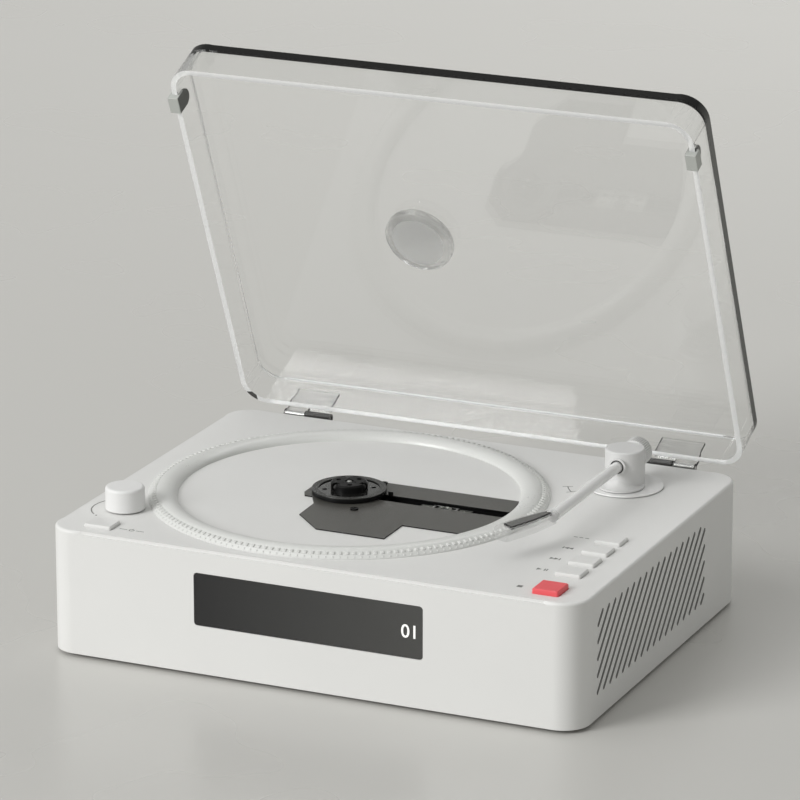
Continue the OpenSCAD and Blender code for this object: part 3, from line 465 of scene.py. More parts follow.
@dataclass(frozen=True)
class StudioFloor(Finish):
    """Pale satin floor that lightens towards the back, the lightening painted light."""

    near: Colour
    far: Colour
    start: float = -0.35
    length: float = 1.6
    mottle_mm: float = 120.0

    def inputs(self, graph: Graph) -> dict:
        """Inputs of its shader."""
        back = ((graph.axis(1) - self.start) / self.length).clamped()
        mottle = graph.noise(self.mottle_mm, 2.0)
        return {
            "Base Color": graph.blend(self.near, self.far, back),
            "Roughness": 0.24 + mottle * 0.08, "Specular IOR Level": 0.5}


class Stock(Enum):
    """Every finish on the player."""

    SHELL = MouldedPlastic("shell_white", srgb(232, 232, 230), 0.46, 0.3, 0.006, shine=0.4)
    # painted shade for the walls of the grille's slots
    SHADE = MouldedPlastic("grille_slot_painted_shade", srgb(168, 168, 166), 0.6, 0.3, 0.006, shine=0.2)
    KEYS = MouldedPlastic("key_white", srgb(230, 230, 228), 0.38, 0.25, 0.004)
    RING = MouldedPlastic("ring_gloss_white", srgb(225, 226, 223), 0.3, 0.8, 0.002, 0.15, 0.1)
    GLOSS = MouldedPlastic("arm_gloss_white", srgb(247, 247, 246), 0.2, 0.6, 0.002, 0.35, 0.05)
    KNOB = MouldedPlastic("knob_white", srgb(235, 235, 234), 0.45, 0.2, 0.004, shine=0.4)
    POST = MouldedPlastic("post_white", srgb(222, 222, 221), 0.4, 0.3, 0.004, shine=0.4)
    # painted shade for the counterweight's grooves
    GROOVE = MouldedPlastic("groove_painted_shade", srgb(176, 177, 174), 0.6, 0.3, 0.004, shine=0.2)
    RED = MouldedPlastic("key_red", srgb(242, 94, 100), 0.42, 0.25, 0.004)
    UNDERSIDE = MouldedPlastic("base_grey", srgb(190, 190, 188), 0.6, 0.5, 0.02)
    DARK = MouldedPlastic("dark_moulding", srgb(30, 30, 29), 0.5, 0.3, 0.01)
    # black plastic, also used as painted shade in the opening, gaps, flanks and the inlay's sides
    HUB = MouldedPlastic("hub_black", srgb(18, 18, 18), 0.4, 0.3, 0.003, shine=0.15)
    TURNTABLE = MouldedPlastic("turntable_gloss", srgb(26, 26, 25), 0.1, 0.25, 0.001, 0.6)
    GEAR = MouldedPlastic("gear_ivory", srgb(226, 222, 208), 0.4, 0.4, 0.006)
    # dark plastic of the brackets, also painted shade at the lid rim's dark corner
    BRACKET = MouldedPlastic("bracket_dark_and_painted_shade", srgb(58, 58, 56), 0.25, 0.3, 0.004, 0.3)
    COVER = MouldedPlastic("cover_dark", srgb(80, 79, 75), 0.3, 0.25, 0.003)
    STEEL = Metal("steel", srgb(190, 190, 188), 0.28)
    ZINC = Metal("plated_sheet", srgb(176, 177, 172), 0.38, 1.0, (0.05, 1.0, 1.0), 0.2)
    PICKUP = Metal("pickup_casting", srgb(168, 170, 164), 0.34, 0.8, (1.0, 0.1, 1.0), 0.2)
    BRASS = Metal("brass", srgb(206, 176, 96), 0.25)
    INLAY = MouldedPlastic("inlay_dark_gloss", srgb(72, 72, 69), 0.14, 0.3, 0.002, 0.6)
    FOOT = Rubber("foot_rubber", srgb(42, 42, 42))
    BAND = MouldedPlastic("band_grey", srgb(50, 50, 48), 0.25, 0.25, 0.003)
    # rib valleys painted darker as shade
    BUMPER = RibbedRubber("bumper_grey", srgb(196, 199, 194), 0.45, 66.5, 0.75)
    ACRYLIC = ClearPlastic("clear_acrylic", (0.996, 0.998, 0.994, 1.0), 0.01, shine=0.12)
    HEADSHELL = ClearPlastic("headshell_clear", (0.985, 0.99, 0.985, 1.0), 0.02, 0.28)
    LEAF = ClearPlastic("leaf_clear", (0.985, 0.99, 0.985, 1.0), 0.02, 0.5)
    FROSTED = ClearPlastic("frosted_inset", (0.9, 0.905, 0.9, 1.0), 0.3, 0.45, 0.8)
    LENS = ClearPlastic("lens_glass", (0.55, 0.6, 0.85, 1.0), 0.01)
    # raised threads painted lighter as highlight
    CLOTH = SpeakerCloth("speaker_cloth", srgb(58, 58, 57))
    WINDOW = SmokedPanel("smoked_window", srgb(14, 14, 14), srgb(70, 70, 68), -0.048, 0.048)
    BOARD = CircuitBoard("circuit_board", (0.01, 0.09, 0.035, 1.0), (0.03, 0.17, 0.06, 1.0))
    INK = PrintedInk("grey_ink", srgb(118, 119, 116))
    # the digits' glow is painted light
    DIGITS = PrintedInk("white_digits_painted_glow", srgb(235, 235, 233), 0.35)
    # painted shade on the clear plate's sawn edge
    RIM = PaintedEdgeShade("plate_rim_painted_shade", srgb(16, 16, 15), srgb(84, 85, 82), 0.1118)
    # painted glow on the walls' rim, the plate's left edge and the cement bead
    LIP = ClearPlastic("lid_lip", (0.95, 0.96, 0.955, 1.0), 0.25, 1.0, 0.4, glow=0.07)
    # stronger painted glow on the rim and the plate's edge at the back
    LIT_LIP = ClearPlastic("lid_lip_lit", (0.95, 0.96, 0.955, 1.0), 0.25, 1.0, 0.2, glow=0.24)
    TAB = Rubber("bumper_tab_grey", srgb(112, 114, 110), 0.5)
    # the floor's lightening towards the back is painted light
    FLOOR = StudioFloor("studio_floor", srgb(201, 200, 196), srgb(216, 215, 211))


class Paints:
    """Builds each material once and hands it out."""

    def __init__(self) -> None:
        """Start with nothing built."""
        self.built: dict[Stock, bpy.types.Material] = {}

    def get(self, stock: Stock) -> bpy.types.Material:
        """The material of a finish, built on first use."""
        if stock not in self.built:
            self.built[stock] = stock.value.build()
        return self.built[stock]


class Bench:
    """Modelling operations that every sub-assembly uses."""

    def __init__(self, frame: dict, paints: Paints) -> None:
        """Keep the loaded frame and the paints."""
        self.frame = frame
        self.paints = paints
        self.bodies = frame["record"]["behaviour"]["bodies"]

    def body_of(self, node: str) -> str:
        """Name of the body that a CAD node belongs to."""
        return next(name for name, nodes in self.bodies.items() if node in nodes)

    @staticmethod
    def apply() -> None:
        """Put the selected piece's place, turn and scale into its mesh."""
        bpy.ops.object.transform_apply(location=True, rotation=True, scale=True)

    @staticmethod
    def clear() -> None:
        """Leave edit mode and deselect everything."""
        if bpy.context.object and bpy.context.object.mode != "OBJECT":
            bpy.ops.object.mode_set(mode="OBJECT")
        bpy.ops.object.select_all(action="DESELECT")

    def pick(self, piece: Piece) -> None:
        """Select one piece alone and make it active."""
        self.clear()
        piece.select_set(True)
        bpy.context.view_layer.objects.active = piece

    def edit(self, piece: Piece, action: Callable[[], object]) -> None:
        """Run operators in edit mode on the whole of a piece."""
        self.pick(piece)
        bpy.ops.object.mode_set(mode="EDIT")
        bpy.ops.mesh.select_mode(type="VERT")
        bpy.ops.mesh.select_all(action="SELECT")
        action()
        bpy.ops.object.mode_set(mode="OBJECT")

    def modify(self, piece: Piece, kind: str, **settings: object) -> None:
        """Add a modifier, set it and apply it."""
        self.pick(piece)
        made = piece.modifiers.new(kind.lower(), kind)
        for key, setting in settings.items():
            setattr(made, key, setting)
        bpy.ops.object.modifier_apply(modifier=made.name)

    def soften(self, piece: Piece, width_mm: float, angle: float = 32.0,
               segments: int = 2) -> None:
        """Round the sharp edges of a piece and smooth the rest.

        Args:
            piece: The mesh to round.
            width_mm: Width of the rounding.
            angle: Edges sharper than this many degrees are rounded.
            segments: Steps across the rounding.
        """
        if width_mm > 0:
            self.modify(piece, "BEVEL", width=width_mm * MM, limit_method="ANGLE",
                        angle_limit=math.radians(angle), segments=segments,
                        use_clamp_overlap=True)
        self.pick(piece)
        bpy.ops.object.shade_smooth_by_angle(angle=math.radians(max(angle, FINE_DEG)))
        if width_mm > 0:
            self.modify(piece, "WEIGHTED_NORMAL", mode="FACE_AREA", weight=100,
                        keep_sharp=True)

    def settle(self, piece: Piece) -> None:
        """Put a piece's place into its mesh and point its faces outwards."""
        self.pick(piece)
        self.apply()
        self.edit(piece, lambda: (bpy.ops.mesh.remove_doubles(threshold=WELD),
                                  bpy.ops.mesh.normals_make_consistent(inside=False)))

    def fit(self, piece: Piece, name: str, stock: Stock, body: str,
            slot: str | None = None, replaces: Sequence[str] = ()) -> Piece:
        """Name, paint and mount a finished piece.

        Args:
            piece: The finished mesh.
            name: Its name.
            stock: Its finish.
            body: The body it moves with.
            slot: The record's material slot; not used.
            replaces: CAD nodes that it stands for.

        Returns:
            The same piece.
        """
        piece.name = name
        piece.data.name = name
        piece.data.materials.clear()
        piece.data.materials.append(self.paints.get(stock))
        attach(piece, body)
        if replaces:
            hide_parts(*replaces)
        log.info("%s: %d faces, finish %s, on %s", name, len(piece.data.polygons),
                 stock.value.name, body)
        return piece

    def second(self, piece: Piece, stock: Stock,
               chosen: Callable[[Face], bool]) -> None:
        """Give some faces of a finished piece one more finish.

        Args:
            piece: The finished mesh.
            stock: The further finish.
            chosen: Picks the faces by place or normal.
        """
        piece.data.materials.append(self.paints.get(stock))
        number = len(piece.data.materials) - 1
        for face in piece.data.polygons:
            if chosen(face):
                face.material_index = number

    def refine(self, node: str, stock: Stock, width_mm: float, angle: float = 32.0,
               segments: int = 2) -> Piece:
        """Copy a CAD node, clean the copy, round its edges and show it instead.

        Args:
            node: The CAD node.
            stock: The copy's finish.
            width_mm: Width of the rounding.
            angle: Edges sharper than this many degrees are rounded.
            segments: Steps across the rounding.

        Returns:
            The dressed copy.
        """
        piece = self.duplicate(node)
        self.soften(piece, width_mm, angle, segments)
        return self.fit(piece, node + "_dressed", stock, self.body_of(node),
                        self.slot_of(node), [node])

    def refine_all(self, *rows: tuple) -> None:
        """Refine several CAD nodes, each row being what refine takes."""
        for row in rows:
            self.refine(*row)

    def slot_of(self, node: str) -> str:
        """Name of the material slot that the record gives a CAD node."""
        return next(s["material_slot"] for s in self.frame["record"]["subparts"]
                    if s["node"] == node)

    def duplicate(self, node: str) -> Piece:
        """Copy a CAD node and merge the copy's doubled corners and flat faces."""
        source = self.frame["nodes"][node]
        self.clear()
        piece = source.copy()
        piece.data = source.data.copy()
        piece.parent = None
        piece.matrix_world = Matrix.Identity(4)
        bpy.context.scene.collection.objects.link(piece)
        self.edit(piece, lambda: (
            bpy.ops.mesh.remove_doubles(threshold=WELD),
            bpy.ops.mesh.dissolve_limited(angle_limit=math.radians(FLAT_DEG)),
            bpy.ops.mesh.normals_make_consistent(inside=False)))
        return piece

    def slab(self, x: float, y: float, width: float, depth: float, low: float,
             high: float) -> Piece:
        """Add a block round (x, y) from one height to another, in millimetres."""
        self.clear()
        bpy.ops.mesh.primitive_cube_add(
            size=1.0, location=(x * MM, y * MM, (low + high) / 2 * MM))
        piece = bpy.context.object
        piece.scale = (width * MM, depth * MM, (high - low) * MM)
        self.apply()
        return piece

    def drum(self, centre: Point, radius: float, height: float, sides: int = 48,
             turn: float = 0.0) -> Piece:
        """Add an upright drum that stands on centre, in millimetres."""
        self.clear()
        bpy.ops.mesh.primitive_cylinder_add(
            vertices=sides, radius=radius * MM, depth=height * MM, rotation=(0, 0, turn),
            location=(centre[0] * MM, centre[1] * MM, (centre[2] + height / 2) * MM))
        piece = bpy.context.object
        self.apply()
        return piece

    def turned(self, centre: Point, outline: Sequence[tuple[float, float]], steps: int = 96,
               start: float = 0.0, sweep: float = 360.0) -> Piece:
        """Turn a closed outline of radius and height about an upright axis.

        Args:
            centre: The axis and the height that the outline counts from, in millimetres.
            outline: Radius and height of each corner.
            steps: Steps round the axis.
            start: Angle at which the outline starts.
            sweep: Angle that it is turned through.

        Returns:
            The turned mesh.
        """
        self.clear()
        bpy.ops.mesh.primitive_circle_add(vertices=len(outline), radius=0.01,
                                          fill_type="NOTHING", location=(0, 0, 0))
        piece = bpy.context.object
        first = math.radians(start)
        for spot, (radius, height) in zip(piece.data.vertices, outline):
            spot.co = (radius * MM * math.cos(first), radius * MM * math.sin(first), height * MM)
        full = abs(sweep - 360.0) < 1e-6
        if not full:
            self.edit(piece, lambda: bpy.ops.mesh.edge_face_add())
        self.edit(piece, lambda: bpy.ops.mesh.spin(
            steps=steps, angle=-math.radians(sweep), center=(0, 0, 0), axis=(0, 0, 1)))
        piece.location = [c * MM for c in centre]
        self.settle(piece)
        return piece

    def merge(self, pieces: Sequence[Piece]) -> Piece:
        """Join pieces into the first of them."""
        self.clear()
        for piece in pieces:
            piece.select_set(True)
        bpy.context.view_layer.objects.active = pieces[0]
        if len(pieces) > 1:
            bpy.ops.object.join()
        return pieces[0]

    def around(self, piece: Piece, centre: Point, count: int) -> None:
        """Repeat a piece round an upright axis with an Array modifier.

        Args:
            piece: One of the repeated pieces.
            centre: A point on the axis, in millimetres.
            count: How many there are in a full turn.
        """
        self.clear()
        bpy.context.scene.cursor.location = [c * MM for c in centre]
        self.pick(piece)
        bpy.ops.object.origin_set(type="ORIGIN_CURSOR")
        bpy.context.scene.cursor.location = (0, 0, 0)
        self.clear()
        bpy.ops.object.empty_add(location=[c * MM for c in centre],
                                 rotation=(0, 0, 2 * math.pi / count))
        guide = bpy.context.object
        self.modify(piece, "ARRAY", count=count, use_relative_offset=False,
                    use_object_offset=True, offset_object=guide)
        self.pick(guide)
        bpy.ops.object.delete()
        self.pick(piece)
        self.apply()

    def lettering(self, words: str, place: Point, height: float, turn: Point,
                  depth: float) -> Piece:
        """Add generic characters as a thin solid.

        Args:
            words: The characters.
            place: Their middle, in millimetres.
            height: Height of a capital, in millimetres.
            turn: Rotation about each axis, in degrees.
            depth: Thickness, in millimetres.

        Returns:
            The characters as a mesh.
        """
        cap_ratio, boldness = 0.69, 0.012
        self.clear()
        bpy.ops.object.text_add(location=(0, 0, 0))
        piece = bpy.context.object
        piece.data.body = words
        piece.data.size = height * MM / cap_ratio
        piece.data.align_x = "CENTER"
        piece.data.align_y = "CENTER"
        piece.data.extrude = depth * MM / 2
        piece.data.offset = height * MM * boldness
        bpy.ops.object.convert(target="MESH")
        piece = bpy.context.object
        piece.rotation_euler = [math.radians(a) for a in turn]
        piece.location = [c * MM for c in place]
        self.settle(piece)
        return piece


@dataclass(frozen=True)
class Sizes:
    """Places and sizes that the pieces share, in millimetres.

    Attributes:
        arm: The tonearm's axis.
        hinge: The lid's axis, across and up.
        ceiling: Underside of the shut lid's plate.
        rim: Foot of the shut lid's walls.
    """

    deck: float = 52.2
    spindle_x: float = -21.5
    front: float = -85.65
    key_x: float = 95.3
    red_y: float = -73.55
    key_y: float = -52.45
    key_pitch: float = 13.45
    knob: tuple[float, float] = (-94.0, -53.45)
    power: tuple[float, float] = (-93.2, -74.65)
    arm: tuple[float, float] = (74.8, 53.55)
    arm_height: float = 62.8
    hinge: tuple[float, float] = (88.575, 51.44)
    open_angle: float = 66.5
    ceiling: float = 69.6
    rim: float = 55.2


@dataclass
class Assembly:
    """A part of the player, made with the bench's tools."""

    bench: Bench
    sizes: Sizes

    def build(self) -> None:
        """Make its pieces."""
        raise NotImplementedError


@dataclass
class Housing(Assembly):
    """Shell, base, feet and hinge brackets.

    Attributes:
        wall: Inner and outer side of the wall that has the grille.
        grille: Front, back, foot and top of the grille, whose slot walls are painted as shade.
        well: Radius of the opening inside the ring, its depth and its top, both below the deck,
            whose walls are painted as shade.
    """

    wall: tuple[float, float] = (109.9, 112.35)
    grille: tuple[float, float, float, float] = (-70.0, 47.0, 10.0, 46.0)
    well: Point = (76.0, 3.0, 0.15)

    def build(self) -> None:
        """Dress the shell and what is fixed to its outside."""
        shell = self.bench.refine("housing_shell", Stock.SHELL, 0.18, CASE_DEG)
        # painted shade on the walls of the grille's slots
        self.bench.second(shell, Stock.SHADE, self.in_grille)
        # painted shade on the walls of the opening inside the ring
        self.bench.second(shell, Stock.HUB, self.under_disc)
        self.bench.refine_all(
            ("base_plate", Stock.UNDERSIDE, 0.2, CASE_DEG), ("rubber_feet", Stock.FOOT, 0.3),
            ("hinge_brackets", Stock.BRACKET, 0.15, CASE_DEG),
            ("dc_jack", Stock.DARK, 0.12, CASE_DEG), ("audio_jack", Stock.DARK, 0.12, CASE_DEG))

    def in_grille(self, face: Face) -> bool:
        """Whether a face of the shell is a wall of a slot in the grille, painted as shade."""
        x, y, z = (c / MM for c in face.center)
        front, back, low, high = self.grille
        return (self.wall[0] < abs(x) < self.wall[1] and front < y < back
                and low < z < high and abs(face.normal.x) < ASIDE)

    def under_disc(self, face: Face) -> bool:
        """Whether a face of the shell is a wall of the opening inside the ring, painted black as
        shade.
        """
        x, y, z = (c / MM for c in face.center)
        radius, depth, top = self.well
        return (math.hypot(x - self.sizes.spindle_x, y) < radius
                and depth > self.sizes.deck - z > top and abs(face.normal.z) < ASIDE)


@dataclass(frozen=True)
class Tooth:
    """A strobe tooth on the +X side of the ring, in millimetres.

    Attributes:
        radius: Radius of its middle.
        length: Its length along the radius.
        width: Its width round the ring.
        low: Height of its foot above the deck.
        high: Height of its middle above the deck.
        slope: Fall of its top across its length.
    """

    radius: float
    length: float
    width: float
    low: float
    high: float
    slope: float


@dataclass
class DiscDeck(Assembly):
    """Raised ring with its two rows of strobe teeth, cover plate and turntable."""

    teeth: int = 180
    rows: tuple[Tooth, Tooth] = (Tooth(77.6, 1.7, 1.35, 1.3, 2.15, 0.5),
                                 Tooth(79.4, 0.75, 0.7, 0.3, 1.02, 0.4))
    tooth_round: float = 0.16
    outline: tuple[tuple[float, float], ...] = (
        (68.2, 0.0), (68.35, 0.7), (68.8, 1.35), (69.5, 1.9), (70.4, 2.4), (71.4, 2.74),
        (72.4, 2.94), (73.2, 3.0), (74.0, 2.96), (74.8, 2.84), (75.6, 2.62), (76.3, 2.32),
        (76.6, 2.05), (78.6, 1.45), (78.9, 1.1), (79.9, 0.45), (80.0, 0.3), (80.0, 0.0))
    # upright faces of the cover plate and turntable, leaning less than this, are painted black as
    # shade
    flank: float = 0.75

    def build(self) -> None:
        """Make the ring and dress the rest."""
        self.ring()
        for node, stock in (("mechanism_cover", Stock.COVER), ("turntable", Stock.TURNTABLE)):
            piece = self.bench.refine(node, stock, 0.1, CASE_DEG)
            # painted shade on the upright flanks of the cover plate and the turntable
            self.bench.second(piece, Stock.HUB, lambda face: abs(face.normal.z) < self.flank)
        self.bench.refine_all(
            ("cover_screws", Stock.HUB, 0.06, CASE_DEG), ("disc_band", Stock.BAND, 0.15, CASE_DEG),
            ("centring_hub", Stock.HUB, 0.12, CASE_DEG), ("spindle_shaft", Stock.STEEL, 0.0),
            ("hub_balls", Stock.DARK, 0.0))

    def tooth(self, shape: Tooth) -> Piece:
        """Make one strobe tooth."""
        x = self.sizes.spindle_x + shape.radius
        low, high = self.sizes.deck + shape.low, self.sizes.deck + shape.high
        piece = self.bench.slab(x, 0.0, shape.length, shape.width, low, high)
        fall = shape.slope / 2 * MM
        for spot in piece.data.vertices:
            if spot.co.z > (low + high) / 2 * MM:
                spot.co.z += fall if spot.co.x < x * MM else -fall
        self.bench.modify(piece, "BEVEL", width=self.tooth_round * MM, segments=2)
        return piece

    def ring(self) -> None:
        """Turn the ring and set the rows of teeth on its outer slope."""
        centre = (self.sizes.spindle_x, 0.0, self.sizes.deck)
        ring = self.bench.turned(centre, self.outline, 240)
        self.bench.soften(ring, 0.0, FINE_DEG)
        rows = []
        for shape in self.rows:
            row = self.tooth(shape)
            self.bench.around(row, centre, self.teeth)
            self.bench.soften(row, 0.0, FINE_DEG)
            rows.append(row)
        piece = self.bench.merge([ring, *rows])
        self.bench.fit(piece, "strobe_ring", Stock.RING, "housing", "ring_white",
                       ["platter_ring"])


@dataclass
class Pickup(Assembly):
    """Sled, optical block and lens that show in the slot.

    Attributes:
        lens: Distance of the lens from the spindle, and of the wires' top below the deck.
        wire: Distance of a wire from the lens, its length, width and height.
        clip: Distance of a wires' clip from the lens, its width, length, foot and top.
    """

    lens: tuple[float, float] = (41.5, 0.5)
    wire: tuple[float, float, float, float] = (2.25, 9.2, 0.24, 0.25)
    clip: tuple[float, float, float, float, float] = (4.9, 1.0, 4.8, 0.4, 0.05)

    def build(self) -> None:
        """Dress the pickup and add the spring wires over its lens."""
        self.bench.refine_all(
            ("pickup_sled", Stock.DARK, 0.1, CASE_DEG),
            ("pickup_unit", Stock.PICKUP, 0.12, CASE_DEG), ("pickup_lens", Stock.LENS, 0.0))
        x, top = self.sizes.spindle_x + self.lens[0], self.sizes.deck - self.lens[1]
        parts = []
        for side in (-1, 1):
            away, length, width, height = self.wire
            parts.append(self.bench.slab(x, side * away, length, width, top - height, top))
            away, width, length, foot, over = self.clip
            parts.append(self.bench.slab(x + side * away, 0.0, width, length,
                                         top - foot, top + over))
        piece = self.bench.merge(parts)
        self.bench.soften(piece, 0.05)
        self.bench.fit(piece, "lens_springs", Stock.STEEL, "pickup", "steel")


@dataclass
class Tonearm(Assembly):
    """Post, tube, headshell, inlay and counterweight.

    Attributes:
        gap: Foot and top of the gap under the arm's base, above the deck, painted black as shade.
        level: Least upward lean of the inlay's top; faces leaning less are painted black as shade.
        groove: Inner and outer radius between which the counterweight's grooves lie, painted
            darker as shade.
        seal_size: Radius and thickness of the collar's seal, and its distance from the post.
    """

    gap: tuple[float, float] = (-0.05, 0.26)
    level: float = 0.985
    groove: tuple[float, float] = (3.0, 5.55)
    seal_size: Point = (2.62, 0.26, 8.62)

    def build(self) -> None:
        """Dress the arm and add the dark seam in its collar."""
        base = self.bench.refine("tonearm_base", Stock.GLOSS, 0.05, CASE_DEG)
        # painted shade in the gap under the arm's base
        self.bench.second(base, Stock.HUB, lambda face: (
            self.gap[0] < face.center.z / MM - self.sizes.deck < self.gap[1]
            and face.normal.z < ASIDE))
        self.bench.refine_all(
            ("arm_post", Stock.POST, 0.15, CASE_DEG), ("arm_tube", Stock.GLOSS, 0.0),
            ("headshell", Stock.HEADSHELL, 0.3, FINE_DEG, 3))
        inlay = self.bench.refine("headshell_inlay", Stock.INLAY, 0.4, FINE_DEG, 3)
        # painted shade on the inlay's sides and rounded edges
        self.bench.second(inlay, Stock.HUB, lambda face: face.normal.z < self.level)
        weight = self.bench.refine("counterweight", Stock.GLOSS, 0.1, CASE_DEG)
        # painted shade in the counterweight's grooves
        self.bench.second(weight, Stock.GROOVE, self.in_groove)
        self.seal()

    def in_groove(self, face: Face) -> bool:
        """Whether a face of the counterweight lies in one of its grooves, painted darker as shade.
        """
        away = math.hypot(face.center.x - self.sizes.arm[0] * MM,
                          face.center.z - self.sizes.arm_height * MM)
        return self.groove[0] < away / MM < self.groove[1] and abs(face.normal.y) < ASIDE

    def seal(self) -> None:
        """Make the dark ring between the arm tube and its collar."""
        self.bench.clear()
        radius, thick, away = self.seal_size
        bpy.ops.mesh.primitive_torus_add(
            major_radius=radius * MM, minor_radius=thick * MM, major_segments=48,
            minor_segments=12, rotation=(math.pi / 2, 0, 0),
            location=(self.sizes.arm[0] * MM, (self.sizes.arm[1] - away) * MM,
                      self.sizes.arm_height * MM))
        piece = bpy.context.object
        self.bench.settle(piece)
        self.bench.soften(piece, 0.0)
        self.bench.fit(piece, "collar_seal", Stock.FOOT, "tonearm", "rubber")


class Sign(Enum):
    """Kinds of printed mark."""

    BAR = "bar"
    ARROW = "arrow"


@dataclass(frozen=True)
class Arc:
    """A printed arc between two radii in millimetres, its angles in degrees."""

    inner: float
    outer: float
    steps: int
    start: float
    sweep: float


@dataclass
class Controls(Assembly):
    """Knob, keys and what is printed beside them.

    Attributes:
        foot: Foot of the print against the deck.
        thick: Thickness of the print.
        left: Distance of the signs from the keys.
        stop: Side of the stop sign.
        signs: A row for each key of kind, offset and size, then height or way of pointing.
        power_sign: Where the power sign lies from its key.
        power_bars: Place, width and height of the bars of the power sign.
        dot: Radius and angle at which the knob's dot lies, and its own radius.
        scale: Ticks and arc beside the arm.
    """

    foot: float = -0.02
    thick: float = 0.06
    left: float = 12.4
    stop: float = 2.1
    signs: tuple[tuple[tuple[Sign, float, float, float], ...], ...] = (
        ((Sign.ARROW, -1.2, 2.1, 1), (Sign.BAR, 1.4, 0.5, 2.1), (Sign.BAR, 2.3, 0.5, 2.1)),
        ((Sign.ARROW, -1.4, 2.0, 1), (Sign.ARROW, 0.4, 2.0, 1), (Sign.BAR, 2.0, 0.45, 2.0)),
        ((Sign.BAR, -2.0, 0.45, 2.0), (Sign.ARROW, -0.4, 2.0, -1), (Sign.ARROW, 1.4, 2.0, -1)),
        ((Sign.BAR, -2.4, 1.6, 0.5), (Sign.BAR, 0.0, 1.6, 0.5), (Sign.BAR, 2.4, 1.6, 0.5)))
    power_sign: tuple[float, float] = (13.2, -0.75)
    power_arc: Arc = Arc(0.8, 1.15, 24, 120, 300)
    power_bars: tuple[tuple[float, float, float, float], ...] = (
        (0.0, 0.9, 0.35, 1.3), (-3.6, 0.0, 3.4, 0.4), (3.6, 0.0, 3.4, 0.4))
    dial: Arc = Arc(13.1, 13.55, 40, 150, 80)
    dot: Point = (13.3, 238.0, 0.42)
    scale: tuple[Arc, ...] = (Arc(20.6, 24.8, 2, 205, 0.9), Arc(20.6, 24.8, 2, 222, 0.9),
                              Arc(22.5, 22.9, 24, 205, 17))

    def build(self) -> None:
        """Dress the knob and keys and print the symbols."""
        self.bench.refine("volume_knob", Stock.KNOB, 0.25, KNOB_DEG, 3)
        for node in ("power_button", "key_one", "key_two", "key_three", "key_four"):
            self.bench.refine(node, Stock.KEYS, 0.3, FINE_DEG, 3)
        self.bench.refine("red_key", Stock.RED, 0.3, FINE_DEG, 3)
        self.print_symbols()

    def bar(self, x: float, y: float, width: float, height: float) -> Piece:
        """One printed bar round a middle."""
        foot = self.sizes.deck + self.foot
        return self.bench.slab(x, y, width, height, foot, foot + self.thick)

    def arrow(self, x: float, y: float, size: float, way: float) -> Piece:
        """One printed triangle that points along X, way 1 or -1."""
        return self.bench.drum((x, y, self.sizes.deck + self.foot), size * 0.62, self.thick, 3,
                               math.pi / 2 if way < 0 else -math.pi / 2)

    def arc(self, centre: tuple[float, float], shape: Arc) -> Piece:
        """One printed arc round a centre."""
        return self.bench.turned((*centre, self.sizes.deck + self.foot), [
            (shape.inner, 0.0), (shape.outer, 0.0), (shape.outer, self.thick),
            (shape.inner, self.thick)], shape.steps, shape.start, shape.sweep)

    def print_symbols(self) -> None:
        """Print the plain symbols beside the keys, the knob and the arm."""
        s = self.sizes
        draw = {Sign.BAR: self.bar, Sign.ARROW: self.arrow}
        x = s.key_x - self.left
        ink = [self.bar(x, s.red_y, self.stop, self.stop)]
        for number, row in enumerate(self.signs):
            ink += [draw[kind](x + offset, s.key_y + number * s.key_pitch, size, last)
                    for kind, offset, size, last in row]
        x, y = s.power[0] + self.power_sign[0], s.power[1] + self.power_sign[1]
        ink.append(self.arc((x, y), self.power_arc))
        ink += [self.bar(x + along, y + up, width, height)
                for along, up, width, height in self.power_bars]
        ink.append(self.arc(s.knob, self.dial))
        away, angle, radius = self.dot
        turn = math.radians(angle)
        ink.append(self.bench.drum((s.knob[0] + away * math.cos(turn),
                                    s.knob[1] + away * math.sin(turn), s.deck + self.foot),
                                   radius, self.thick, 16))
        ink += [self.arc(s.arm, shape) for shape in self.scale]
        self.bench.fit(self.bench.merge(ink), "deck_print", Stock.INK, "housing", "white_shell")


@dataclass
class Display(Assembly):
    """Smoked window with two digits behind its face.

    Attributes:
        middle: Middle of the digits: along the front, behind it and up.
        capital: Height of a digit.
        depth: Thickness of a digit.
    """

    middle: Point = (42.9, 0.08, 31.75)
    capital: float = 5.2
    depth: float = 0.06

    def build(self) -> None:
        """Dress the window and show two plain digits in it, with a painted glow."""
        self.bench.refine("display_window", Stock.WINDOW, 0.12, CASE_DEG)
        x, behind, z = self.middle
        piece = self.bench.lettering("01", (x, self.sizes.front + behind, z), self.capital,
                                     (90, 0, 0), self.depth)
        self.bench.fit(piece, "display_digits", Stock.DIGITS, "housing", "smoked_window")


@dataclass(frozen=True)
class ShutFace:
    """A face of the lid as it lies when the lid is shut, in millimetres.

    Attributes:
        spot: Its middle.
        way: Its normal.
        sawn: Whether it is on the sawn edge of the plate.
        rim: Whether it is on the rim at the walls' foot.
    """

    spot: Vector
    way: Vector
    sawn: bool
    rim: bool


